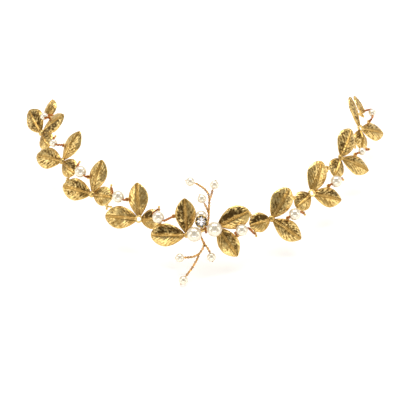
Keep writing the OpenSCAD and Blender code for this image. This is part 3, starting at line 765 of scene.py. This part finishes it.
def wound_wire_tree():
    """Winds round wire about every path. Each path carries its gauge (wire radius), wind
    (radius it is wound at), pitch (length of a turn) and strands."""
    tree, add, given = new_tree(
        "wound_wire", {"Step": "Float", "Sides": "Int", "Material": "Material"})
    gauge, radius, pitch, strands = (
        add("GeometryNodeInputNamedAttribute", {"Name": key}, data_type=kind)
        for key, kind in RUN_NUMBERS.items())
    path = add("GeometryNodeMeshToCurve", {"Mesh": given["Geometry"]})
    fine = add("GeometryNodeResampleCurve", {"Curve": path, "Length": given["Step"]}, mode="LENGTH")
    copies = add("GeometryNodeDuplicateElements", {"Geometry": fine, "Amount": strands},
                 domain="SPLINE")
    share = add("ShaderNodeMath", {0: copies.outputs["Duplicate Index"], 1: strands},
                operation="DIVIDE")
    length = add("GeometryNodeSplineParameter").outputs["Length"]
    along = add("ShaderNodeMath", {0: length, 1: pitch}, operation="DIVIDE")
    turns = add("ShaderNodeMath", {0: along, 1: share}, operation="ADD")
    angle = add("ShaderNodeMath", {0: turns, 1: 2 * math.pi}, operation="MULTIPLY")
    cosine = add("ShaderNodeMath", {0: angle}, operation="COSINE")
    sine = add("ShaderNodeMath", {0: angle}, operation="SINE")
    normal = add("GeometryNodeInputNormal")
    tangent = add("GeometryNodeInputTangent")
    other = add("ShaderNodeVectorMath", {0: tangent, 1: normal}, operation="CROSS_PRODUCT")
    one = add("ShaderNodeVectorMath", {0: normal, "Scale": cosine}, operation="SCALE")
    two = add("ShaderNodeVectorMath", {0: other, "Scale": sine}, operation="SCALE")
    way = add("ShaderNodeVectorMath", {0: one, 1: two}, operation="ADD")
    offset = add("ShaderNodeVectorMath", {0: way, "Scale": radius}, operation="SCALE")
    wound = add("GeometryNodeSetPosition",
                {"Geometry": copies.outputs["Geometry"], "Offset": offset})
    gauged = add("GeometryNodeSetCurveRadius", {"Curve": wound, "Radius": gauge})
    circle = add("GeometryNodeCurvePrimitiveCircle", {"Resolution": given["Sides"], "Radius": 1.0})
    scale = add("GeometryNodeInputRadius")
    wire = add("GeometryNodeCurveToMesh",
               {"Curve": gauged, "Profile Curve": circle, "Scale": scale, "Fill Caps": True})
    shaded = add("GeometryNodeSetShadeSmooth", {"Geometry": wire})
    real = add("GeometryNodeRealizeInstances", {"Geometry": shaded})
    done = add("GeometryNodeSetMaterial", {"Geometry": real, "Material": given["Material"]})
    add("NodeGroupOutput", {"Geometry": done})
    return tree


def claw_ring_tree():
    """Stands bent claws round a cup, each leaning in over the stone."""
    tree, add, given = new_tree("claw_ring", {
        "Claws": "Int", "Ring radius": "Float", "Claw radius": "Float", "Rise": "Float",
        "Lean in": "Float", "Sides": "Int", "Material": "Material"})
    ring = add("GeometryNodeMeshCircle",
               {"Vertices": given["Claws"], "Radius": given["Ring radius"]})
    inward = add("ShaderNodeMath", {0: given["Lean in"], 1: -1.0}, operation="MULTIPLY")
    top = add("ShaderNodeCombineXYZ", {"X": inward, "Z": given["Rise"]})
    knee = add("ShaderNodeCombineXYZ", {"Z": given["Rise"]})
    spine = add("GeometryNodeCurveQuadraticBezier",
                {"Resolution": 8, "Start": (0, 0, 0), "Middle": knee, "End": top})
    circle = add("GeometryNodeCurvePrimitiveCircle",
                 {"Resolution": given["Sides"], "Radius": given["Claw radius"]})
    claw = add("GeometryNodeCurveToMesh",
               {"Curve": spine, "Profile Curve": circle, "Fill Caps": True})
    tip = add("GeometryNodeMeshUVSphere",
              {"Segments": given["Sides"], "Rings": 8, "Radius": given["Claw radius"]})
    tip_up = add("GeometryNodeTransform", {"Geometry": tip, "Translation": top})
    whole = add("GeometryNodeJoinGeometry")
    for part in (claw, tip_up):
        tree.links.new(part.outputs[0], whole.inputs[0])
    place = add("GeometryNodeInputPosition")
    outward = add("FunctionNodeAlignEulerToVector", {"Vector": place}, axis="X", pivot_axis="Z")
    stood = add("GeometryNodeInstanceOnPoints",
                {"Points": ring, "Instance": whole, "Rotation": outward})
    shaded = add("GeometryNodeSetShadeSmooth", {"Geometry": stood})
    real = add("GeometryNodeRealizeInstances", {"Geometry": shaded})
    done = add("GeometryNodeSetMaterial", {"Geometry": real, "Material": given["Material"]})
    add("NodeGroupOutput", {"Geometry": done})
    return tree


TREES = {}


def grow(name, mesh, make_tree, values):
    """Runs a node tree on a mesh and leaves its result as a plain mesh piece."""
    if make_tree not in TREES:
        TREES[make_tree] = make_tree()
    tree = TREES[make_tree]
    piece = bpy.data.objects.new(name, mesh)
    bpy.context.scene.collection.objects.link(piece)
    modifier = piece.modifiers.new(tree.name, "NODES")
    modifier.node_group = tree
    for socket in tree.interface.items_tree:
        if socket.in_out == "INPUT" and socket.name in values:
            modifier[socket.identifier] = values[socket.name]
    bpy.context.view_layer.update()
    evaluated = piece.evaluated_get(bpy.context.evaluated_depsgraph_get())
    result = bpy.data.meshes.new_from_object(evaluated)
    if not result.polygons:
        raise RuntimeError(f"{name}: the node tree made nothing")
    result.name = name
    piece.modifiers.clear()
    piece.data = result
    if not result.materials:
        result.materials.append(values["Material"])
    return piece


def wind(name, runs, finish):
    """Wire pieces from runs of (points in mm, wire radius, winding radius, pitch, strands)."""
    points, edges, numbers = [], [], {key: [] for key in RUN_NUMBERS}
    for path, gauge, radius, pitch, strands in runs:
        first = len(points)
        smooth = flowing(path)
        points += (smooth * MM).tolist()
        edges += [(k, k + 1) for k in range(first, first + len(smooth) - 1)]
        for key, value in zip(numbers, (gauge * MM, radius * MM, pitch * MM, strands)):
            numbers[key] += [value] * len(smooth)
    mesh = bpy.data.meshes.new(name)
    mesh.from_pydata(points, edges, [])
    for key, values in numbers.items():
        layer = mesh.attributes.new(key, RUN_NUMBERS[key], "POINT")
        layer.data.foreach_set("value", values)
    wire = bpy.context.scene.tiara_wire
    return grow(name, mesh, wound_wire_tree,
                {"Step": 0.13 * MM, "Sides": wire.sides, "Material": material(finish)})


def joined(name, pieces):
    """Puts several pieces' meshes into one piece."""
    with bpy.context.temp_override(active_object=pieces[0], selected_objects=pieces,
                                   selected_editable_objects=pieces):
        bpy.ops.object.join()
    pieces[0].name = name
    pieces[0].data.name = name
    return pieces[0]


# ---- castings ----
def knuckle_start(j):
    return KNUCKLE_FROM if j <= LINKS else END_KNUCKLE_FROM


def knuckle_middle(side, j, way):
    return at(hinge_frame(side, j), [0, way * (knuckle_start(j) + KNUCKLE_LONG / 2), 0])


def pin_axis(side, j, y=0.0):
    """A frame on the hinge pin whose Z is the pin."""
    f = hinge_frame(side, j)
    return np.array([at(f, [0, y, 0]), f[3], f[1], f[2]])


def add_pin(shells, side, j):
    """The pin behind a hinge leaf, with a domed head on each end."""
    head = knuckle_start(j) + KNUCKLE_LONG + PIN_END_GAP + PIN_HEAD_R
    upper = [(PIN_HEAD_R * math.cos(a), head + PIN_HEAD_R * math.sin(a))
             for a in np.radians(range(-48, 91, 14))]
    upper.append((0, head + PIN_HEAD_R))
    shaft = [(PIN_R, -0.5 * head), (PIN_R, 0.5 * head)]
    profile = [(r, -h) for r, h in upper[::-1]] + shaft + upper
    lathe(shells, pin_axis(side, j), profile, sides=24)


def add_knuckle(shells, side, j):
    """The knuckle round the next casting's pin, and the bent arm that carries it."""
    f, knuckle = round_frame(side, j - 1), knuckle_middle(side, j, -1)
    length, width = leaf_form("round")[:2]
    local = (knuckle - f[0]) @ f[1:].T
    x = min(max(local[0], ARM_ROOT_LEAST), length - ARM_ROOT_TIP_GAP)
    y = math.copysign(min(ARM_ROOT_ACROSS * width, abs(local[1])), local[1])
    root = at(f, [x, y, float(smooth_z(x / length, y)) - ARM_ROOT_DEEP])
    inward = hinge_frame(side, j)[1]
    drawn(shells, [root, knuckle + ARM_ELBOW * inward, knuckle + KNUCKLE_R * 0.75 * inward], ARM_R,
          dark=0.3)
    ring = rounded_ring(PIN_R + RUNNING_GAP, KNUCKLE_R, -KNUCKLE_LONG / 2, KNUCKLE_LONG / 2, 0.18)
    lathe(shells, pin_axis(side, j, -(knuckle_start(j) + KNUCKLE_LONG / 2)), ring, 28, looped=True)


def ear_frame(side, j):
    length, *outline = leaf_form("pointed")
    x = EAR_ALONG[side][j - 1]
    u = (x - LEAF_START) / (length - LEAF_START)
    edge = float(half_width(u, *outline))
    under = float(smooth_z(u, edge)) - bpy.context.scene.tiara_leaf.thickness / MM
    return shifted(pointed_frame(side, j - 1), [x, edge + EAR_OUT, under])


def add_hub(shells, side, i):
    """A domed knot where the leaves meet, or an open ring."""
    f = hub_frame(side, i)
    if i in OPEN_HUBS[side]:
        lathe(shells, f, rounded_ring(HUB_HOLE_R, HUB_R - 0.05, -0.6, 0.62, 0.3), 40, looped=True,
              recess=0.15)
        return
    r = CENTRE_HUB_R if i == 0 else HUB_R - 0.3
    profile = [(0, 0.85), (0.35 * r, 0.8), (0.65 * r, 0.62), (0.88 * r, 0.32), (r, -0.05),
               (r, -0.35), (0.85 * r, -HUB_THICK / 2), (0, -HUB_THICK / 2)]
    lathe(shells, f, profile, 32, recess=0.45, dark=0.3)


def make_casting(side, i):
    """One cast cluster of leaves with its hinge parts, in place of its CAD node."""
    node = f"centre_casting_{side}" if i == 0 else f"leaf_link_{side}_{i}"
    body = "centre" if i == 0 else f"link_{side}_{i}"
    seed = 10 * i + (3 if side == "right" else 8)
    shells = Shells()
    leaf_blade(shells, "pointed", pointed_frame(side, i), POINTED_HALF_SHADE[side][i], seed)
    leaf_blade(shells, "round", round_frame(side, i), ROUND_HALF_SHADE[side][i], seed + 1)
    if i:
        leaf_blade(shells, "hinge", turned(hub_frame(side, i), HINGE_TURN[side][i]),
                   HINGE_HALF_SHADE[side][i], seed + 2, steps=56, across=52)
        add_pin(shells, side, i)
    add_hub(shells, side, i)
    add_knuckle(shells, side, i + 1)
    ear = rounded_ring(EAR_HOLE_R, EAR_R, 0, EAR_THICK, 0.2)
    lathe(shells, ear_frame(side, i + 1), ear, 28, looped=True)
    piece = shells.piece("cast_" + node, material("leaf"))
    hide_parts(node)
    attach(piece, body)


def make_end_leaf(side):
    """The last small leaf of a wing."""
    f = shifted(round_frame(side, LINKS + 1), [-END_LEAF_ROOT, 0, 0])
    shells = Shells()
    leaf_blade(shells, "end", f, ROUND_HALF_SHADE[side][LINKS + 1], 77 if side == "right" else 91,
               steps=56, across=52)
    add_pin(shells, side, LINKS + 1)
    if side == "right":
        place = round_frame("right", LINKS + 1)
        drawn(shells, [at(place, END_PEARL_ROOT), at(place, END_PEARL_AT)], WIRE_R)
    piece = shells.piece(f"cast_end_leaf_{side}", material("leaf"))
    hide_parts(f"end_leaf_{side}")
    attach(piece, f"end_{side}")


# ---- pearls, wires and stone ----
def box_middle(node):
    low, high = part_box(node)
    return np.array((low + high) / 2) / MM, max(high - low) / 2 / MM


def make_pearl(node, towards, body, through=True):
    """A drilled pearl, its hole along the way given, right through or only on that side."""
    centre, radius = box_middle(node)
    drill = bpy.context.scene.tiara_pearl.drill / MM
    edge = math.asin((drill + 0.1) / radius)
    stop = math.pi - edge if through else math.pi
    arc = [(radius * math.sin(a), radius * math.cos(a)) for a in np.linspace(edge, stop, 45)]
    deep = 0.25 * radius
    lip = math.sqrt(radius**2 - drill**2) - 0.12
    profile = [(0, deep), (drill, deep), (drill, lip)] + arc
    profile += [(drill, -lip), (drill, -deep), (0, -deep)] if through else []
    shells = Shells()
    lathe(shells, frame_along(centre, centre + towards), profile, sides=64)
    piece = shells.piece("round_" + node, material("pearl"))
    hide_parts(node)
    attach(piece, body)


def inner_body(side, j):
    return "centre" if j == 1 else f"link_{side}_{j - 1}"


def drill_way(side, j):
    """Where link pearl j lies, its radius, and the way its hole runs, towards its hinge coil."""
    middle, radius = box_middle(f"link_pearl_{side}_{j}")
    front = at(ear_frame(side, j), [0, 0, EAR_THICK + WIRE_STRAIGHT])
    way = unit(unit(knuckle_middle(side, j, 1) - middle) + unit(middle - front))
    return middle, radius, way


def make_link_wire(side, j):
    """Copper wire from a button behind the ear, through the pearl, to a coil on the pin."""
    middle, radius, way = drill_way(side, j)
    ear = ear_frame(side, j)
    tail, front = at(ear, [0, 0, -WIRE_TAIL]), at(ear, [0, 0, EAR_THICK + WIRE_STRAIGHT])
    clear = (radius + WIRE_STRAIGHT) * way
    near, far = middle - clear, middle + clear
    coil = knuckle_middle(side, j, 1)
    axis = hinge_frame(side, j)[2]
    out = far - coil
    out = unit(out - axis * (out @ axis))
    wrap = bpy.context.scene.tiara_wire.wrap / MM
    bound = WIRE_R + wrap
    reach = KNUCKLE_LONG / 2 - wrap
    runs = [
        ([tail, front, near, middle, far, coil + COIL_REACH * out], WIRE_R, 0, 1, 1),
        ([coil - reach * axis, coil + reach * axis], wrap, KNUCKLE_R - wrap, COIL_PITCH, 1),
        ([at(ear, [0, 0, -EAR_WIND_BACK]), at(ear, [0, 0, EAR_THICK + EAR_WIND_FRONT])],
         wrap * 0.9, EAR_WIND_R, EAR_WIND_PITCH, 1),
    ]
    for start, stop in ((front, near), (far, coil + COIL_EDGE * out)):
        if np.linalg.norm(stop - start) > WRAP_LEAST:
            runs.append(([start, stop], wrap, bound, WRAP_PITCH, 1))
    wires = wind(f"drawn_link_wire_{side}_{j}", runs, "copper")
    shells = Shells()
    button = [(0, 0), (0.5, -0.02), (0.62, -0.15), (0.58, -0.32), (0.3, -0.46), (0, -0.5)]
    lathe(shells, shifted(ear, [0, 0, -0.08]), button, 24)
    head = shells.piece("button", material("copper"))
    piece = joined(f"drawn_link_wire_{side}_{j}", [wires, head])
    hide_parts(f"link_wire_{side}_{j}")
    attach(piece, inner_body(side, j))


def make_sprig(name, body, eye_x, stem, branches, ends, pearls):
    """Twisted gold wire from an eye on the bar out to its pearls."""
    wire = bpy.context.scene.tiara_wire
    strand, pitch = wire.strand / MM, wire.twist / MM
    centre, bar = centre_frame(), bar_frame()
    local = [(box_middle(p)[0] - centre[0]) @ centre[1:].T for p in pearls]
    eye = [at(bar, [eye_x - EYE_HALF, 0, 0]), at(bar, [eye_x + EYE_HALF, 0, 0])]
    runs = [(eye, EYE_WIRE, EYE_WIND_R, EYE_PITCH, 1),
            ([at(centre, p) for p in stem], strand * 1.05, 1.3 * strand, pitch, 2)]
    runs += [([at(centre, p) for p in b], strand, 1.25 * strand, pitch, 2) for b in branches]
    shells = Shells()
    for end, middle in zip(ends, local):
        last = np.array(branches[end][-1])
        way = unit(middle - last)
        radius = box_middle(pearls[0])[1]
        stub = middle + (radius - 0.05) * way
        runs.append(([at(centre, last - 0.2 * way), at(centre, stub)], WIRE_R * 0.9, 0, 1, 1))
        button = [(0, 0.3), (0.25, 0.26), (0.42, 0.1), (0.42, -0.06), (0.25, -0.2), (0, -0.24)]
        lathe(shells, frame_along(at(centre, stub), at(centre, stub + way)), button, 20)
    wires = wind(f"twisted_{name}", runs, "sprig")
    piece = joined(f"twisted_{name}", [wires, shells.piece("headpins", material("sprig"))])
    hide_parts(name)
    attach(piece, body)
    for node, end, middle in zip(pearls, ends, local):
        way = middle - np.array(branches[end][-1])
        make_pearl(node, way @ centre[1:], body)


def make_crystal():
    """A round brilliant: table, star, kite and girdle facets over a foiled pavilion."""
    count = bpy.context.scene.tiara_pearl.facets
    place = shifted(centre_frame(), CRYSTAL_AT)
    rim = 2.4
    turn = 2 * math.pi / count

    def ring(n, radius, height, offset=0.0):
        return [(radius * math.cos(turn * (k * count / n + offset)),
                 radius * math.sin(turn * (k * count / n + offset)), height) for k in range(n)]

    table = ring(count, 1.35, 0.95)
    star = ring(count, 1.85, 0.68, 0.5)
    upper = ring(2 * count, rim, 0.16)
    lower = ring(2 * count, rim, 0.0)
    deep = ring(count, 1.1, -0.78, 0.5)
    points = table + star + upper + lower + deep + [(0, 0, -1.3)]
    t, s, g, l, d = 0, count, 2 * count, 4 * count, 6 * count
    culet = 7 * count
    faces = [list(range(count))]
    for k in range(count):
        m = (k + 1) % count
        a, b, c = 2 * k, 2 * k + 1, (2 * k + 2) % (2 * count)
        faces.append([t + m, t + k, s + k])
        faces.append([t + k, s + (k - 1) % count, g + a, s + k])
        faces.append([s + k, g + a, g + b])
        faces.append([s + k, g + b, g + c])
    for k in range(2 * count):
        m = (k + 1) % (2 * count)
        faces.append([g + k, l + k, l + m, g + m])
    pavilion = len(faces)
    for k in range(count):
        a, b, c = 2 * k, 2 * k + 1, (2 * k + 2) % (2 * count)
        faces.append([l + a, d + k, l + b])
        faces.append([l + b, d + k, l + c])
        faces.append([l + a, d + (k - 1) % count, culet, d + k])
    shells = Shells()
    shells.add(at(place, np.array(points)), faces)
    piece = shells.piece("cut_crystal", material("crystal"), smooth=False)
    piece.data.materials.append(material("foil"))
    for polygon in piece.data.polygons[pavilion:]:
        polygon.material_index = 1
    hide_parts("crystal")
    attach(piece, "centre")


# ---- stage, in metres, and operators ----
LIGHT_AIM = (0, 0.053, 0)
FLOOR_REACH = 1.5
CAMERA_SHIFT = (-0.005, 0.07)
ROOM_BRIGHTNESS = 0.62


class TIARA_OT_cast_leaves(bpy.types.Operator):
    """Cast every cluster of leaves and the two end leaves"""

    bl_idname = "tiara.cast_leaves"
    bl_label = "Cast leaves"

    def execute(self, context):
        for side in SIDES:
            for i in range(LINKS + 1):
                make_casting(side, i)
            make_end_leaf(side)
        return {"FINISHED"}


class TIARA_OT_link_wires(bpy.types.Operator):
    """Wind the copper link wires and thread their pearls"""

    bl_idname = "tiara.link_wires"
    bl_label = "Link wires and pearls"

    def execute(self, context):
        for side in SIDES:
            for j in range(1, LINKS + 2):
                make_link_wire(side, j)
                make_pearl(f"link_pearl_{side}_{j}", drill_way(side, j)[2], inner_body(side, j))
        return {"FINISHED"}


class TIARA_OT_centre(bpy.types.Operator):
    """Finish the soldered frame, bind it in copper and fix its pearls"""

    bl_idname = "tiara.centre"
    bl_label = "Centre"

    def execute(self, context):
        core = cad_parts["core_frame"]
        core.data.materials.clear()
        core.data.materials.append(material("findings"))
        bar = bar_frame()
        reach = BINDING_LONG / 2 - BINDING_END
        ends = [at(bar, [BINDING_X - reach, 0, 0]), at(bar, [BINDING_X + reach, 0, 0])]
        runs = [(ends[::way], BINDING_WIRE, BAR_R + off, pitch, 1)
                for off, pitch, way in BINDING_LAYERS]
        piece = wind("wound_centre_binding", runs, "copper")
        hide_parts("centre_binding")
        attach(piece, "centre")
        back = -centre_frame()[3]
        for node in ("large_pearl_left", "large_pearl_right", "back_pearl"):
            make_pearl(node, back, "centre", through=False)
        place = round_frame("right", LINKS + 1)
        post = at(place, END_PEARL_ROOT) - at(place, END_PEARL_AT)
        make_pearl("end_pearl_right", post, "end_right", through=False)
        return {"FINISHED"}


class TIARA_OT_crystal(bpy.types.Operator):
    """Cut the crystal and raise its cup and claws"""

    bl_idname = "tiara.crystal"
    bl_label = "Crystal and setting"

    def execute(self, context):
        make_crystal()
        place = shifted(centre_frame(), CRYSTAL_AT)
        shells = Shells()
        cup = [(0, -1.8), (1.2, -1.8), (1.35, -1.72), (2.7, -0.45), (2.9, -0.2), (2.92, 0.2),
               (2.84, 0.32), (2.7, 0.33), (2.6, 0.22), (2.55, -0.05), (0.7, -1.4), (0, -1.4)]
        lathe(shells, place, cup, 64)
        bowl = shells.piece("cup", material("findings"))
        pearl = context.scene.tiara_pearl
        claws = grow("claws", bpy.data.meshes.new("claws"), claw_ring_tree,
                     {"Claws": pearl.claws, "Ring radius": 2.78 * MM, "Claw radius": 0.3 * MM,
                      "Rise": 1.05 * MM, "Lean in": 0.62 * MM, "Sides": 12,
                      "Material": material("findings")})
        co = np.zeros(len(claws.data.vertices) * 3)
        claws.data.vertices.foreach_get("co", co)
        moved = at(place, co.reshape(-1, 3) / MM + [0, 0, -0.2]) * MM
        claws.data.vertices.foreach_set("co", moved.ravel())
        piece = joined("claw_setting", [bowl, claws])
        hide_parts("crystal_setting")
        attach(piece, "centre")
        return {"FINISHED"}


class TIARA_OT_sprigs(bpy.types.Operator):
    """Twist the two sprigs and thread their pearls"""

    bl_idname = "tiara.sprigs"
    bl_label = "Sprigs"

    def execute(self, context):
        make_sprig("upper_sprig_wire", "upper_sprig", UPPER_EYE_X, UPPER_STEM, UPPER_BRANCHES,
                   UPPER_ENDS, [f"upper_sprig_pearl_{n}" for n in (1, 2, 3)])
        make_sprig("lower_sprig_wire", "lower_sprig", LOWER_EYE_X, LOWER_STEM, LOWER_BRANCHES,
                   LOWER_ENDS, [f"lower_sprig_pearl_{n}" for n in (1, 2, 3)])
        return {"FINISHED"}


def softbox(name, place, width, height, radiance):
    """A large white area light aimed at the tiara's middle, by how bright its face looks."""
    light = bpy.data.lights.new(name, "AREA")
    light.shape = "RECTANGLE"
    light.size, light.size_y = width, height
    light.energy = radiance * math.pi * width * height
    lamp = bpy.data.objects.new(name, light)
    lamp.location = place
    aim = Vector(LIGHT_AIM) - Vector(place)
    lamp.rotation_euler = aim.to_track_quat("-Z", "Y").to_euler()
    lamp.visible_camera = False
    bpy.context.scene.collection.objects.link(lamp)


class TIARA_OT_stage(bpy.types.Operator):
    """Set the camera, floor and studio lights"""

    bl_idname = "tiara.stage"
    bl_label = "Stage"

    def execute(self, context):
        scene, stage = context.scene, context.scene.tiara_stage
        back = Vector((0, -math.cos(stage.elevation), math.sin(stage.elevation)))
        camera = bpy.data.objects.new("camera", bpy.data.cameras.new("camera"))
        camera.location = stage.distance * back
        camera.rotation_euler = (math.pi / 2 - stage.elevation, 0, 0)
        camera.data.lens, camera.data.sensor_width = stage.focal, 36
        camera.data.shift_x, camera.data.shift_y = CAMERA_SHIFT
        camera.data.clip_start, camera.data.clip_end = 0.05, 20
        scene.collection.objects.link(camera)
        scene.camera = camera
        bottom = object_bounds()[0].z
        corners = ((-1, -1), (1, -1), (1, 1), (-1, 1))
        mesh = bpy.data.meshes.new("floor")
        mesh.from_pydata([(FLOOR_REACH * x, FLOOR_REACH * y, bottom) for x, y in corners], [],
                         [[0, 1, 2, 3]])
        mesh.materials.append(material("floor"))
        floor = bpy.data.objects.new("floor", mesh)
        scene.collection.objects.link(floor)
        floor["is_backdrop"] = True
        softbox("overhead", (0, 0.56, 1.05), 1.3, 0.6, 4.2)
        softbox("left", (-1.15, -0.24, 0.55), 0.4, 1.0, 2.4)
        softbox("right", (1.15, -0.09, 0.5), 0.4, 1.0, 2.0)
        softbox("front", (0, -1.14, 0.3), 1.1, 0.35, 2.6)
        self.light_room(scene)
        scene.view_settings.view_transform = "Standard"
        return {"FINISHED"}

    def light_room(self, scene):
        """A pale room, dark in front where the camera stands and dimmer straight overhead."""
        scene.world = bpy.data.worlds.new("pale_studio")
        scene.world.use_nodes = True
        scene.world.node_tree.nodes.clear()
        add = partial(add_node, scene.world.node_tree)
        way = add("ShaderNodeTexCoord").outputs["Generated"]
        level = ROOM_BRIGHTNESS
        for target, inner, outer, cut in (
                ((0, -0.87, 0.49), 0.94, 0.99, 0.97), ((0, -0.2, 0.98), 0.7, 0.96, 0.55)):
            near = add("ShaderNodeVectorMath", {0: way, 1: unit(np.array(target))},
                       operation="DOT_PRODUCT").outputs["Value"]
            fade = add("ShaderNodeMapRange",
                       {"Value": near, "From Min": inner, "From Max": outer, "To Min": 1.0,
                        "To Max": 1 - cut}, interpolation_type="SMOOTHSTEP")
            level = add("ShaderNodeMath", {0: level, 1: fade}, operation="MULTIPLY")
        room = add("ShaderNodeBackground", {"Color": colour4(linear("#FFFDF8")), "Strength": level})
        seen = add("ShaderNodeBackground", {"Color": colour4(linear("#FFFFFF")), "Strength": 1.0})
        is_camera = add("ShaderNodeLightPath").outputs["Is Camera Ray"]
        mix = add("ShaderNodeMixShader", {0: is_camera, 1: room, 2: seen})
        add("ShaderNodeOutputWorld", {"Surface": mix})


OPERATORS = (TIARA_OT_cast_leaves, TIARA_OT_link_wires, TIARA_OT_centre, TIARA_OT_crystal,
             TIARA_OT_sprigs, TIARA_OT_stage)


class TIARA_PT_panel(bpy.types.Panel):
    """The tiara's sizes and steps"""

    bl_idname = "TIARA_PT_panel"
    bl_label = "Tiara"
    bl_space_type = "VIEW_3D"
    bl_region_type = "UI"
    bl_category = "Tiara"

    def draw(self, context):
        for name, group in SETTINGS.items():
            box = self.layout.box()
            box.label(text=group.__doc__)
            for key in group.__annotations__:
                box.prop(getattr(context.scene, name), key)
        for operator in OPERATORS:
            self.layout.operator(operator.bl_idname)


CLASSES = (*SETTINGS.values(), *OPERATORS, TIARA_PT_panel)


def register():
    for cls in CLASSES:
        bpy.utils.register_class(cls)
    for name, group in SETTINGS.items():
        setattr(bpy.types.Scene, name, PointerProperty(type=group))


def unregister():
    for name in SETTINGS:
        delattr(bpy.types.Scene, name)
    for cls in reversed(CLASSES):
        bpy.utils.unregister_class(cls)


def main():
    register()
    bpy.ops.tiara.cast_leaves()
    bpy.ops.tiara.link_wires()
    bpy.ops.tiara.centre()
    bpy.ops.tiara.crystal()
    bpy.ops.tiara.sprigs()
    bpy.ops.tiara.stage()


if __name__ == "__main__":
    main()
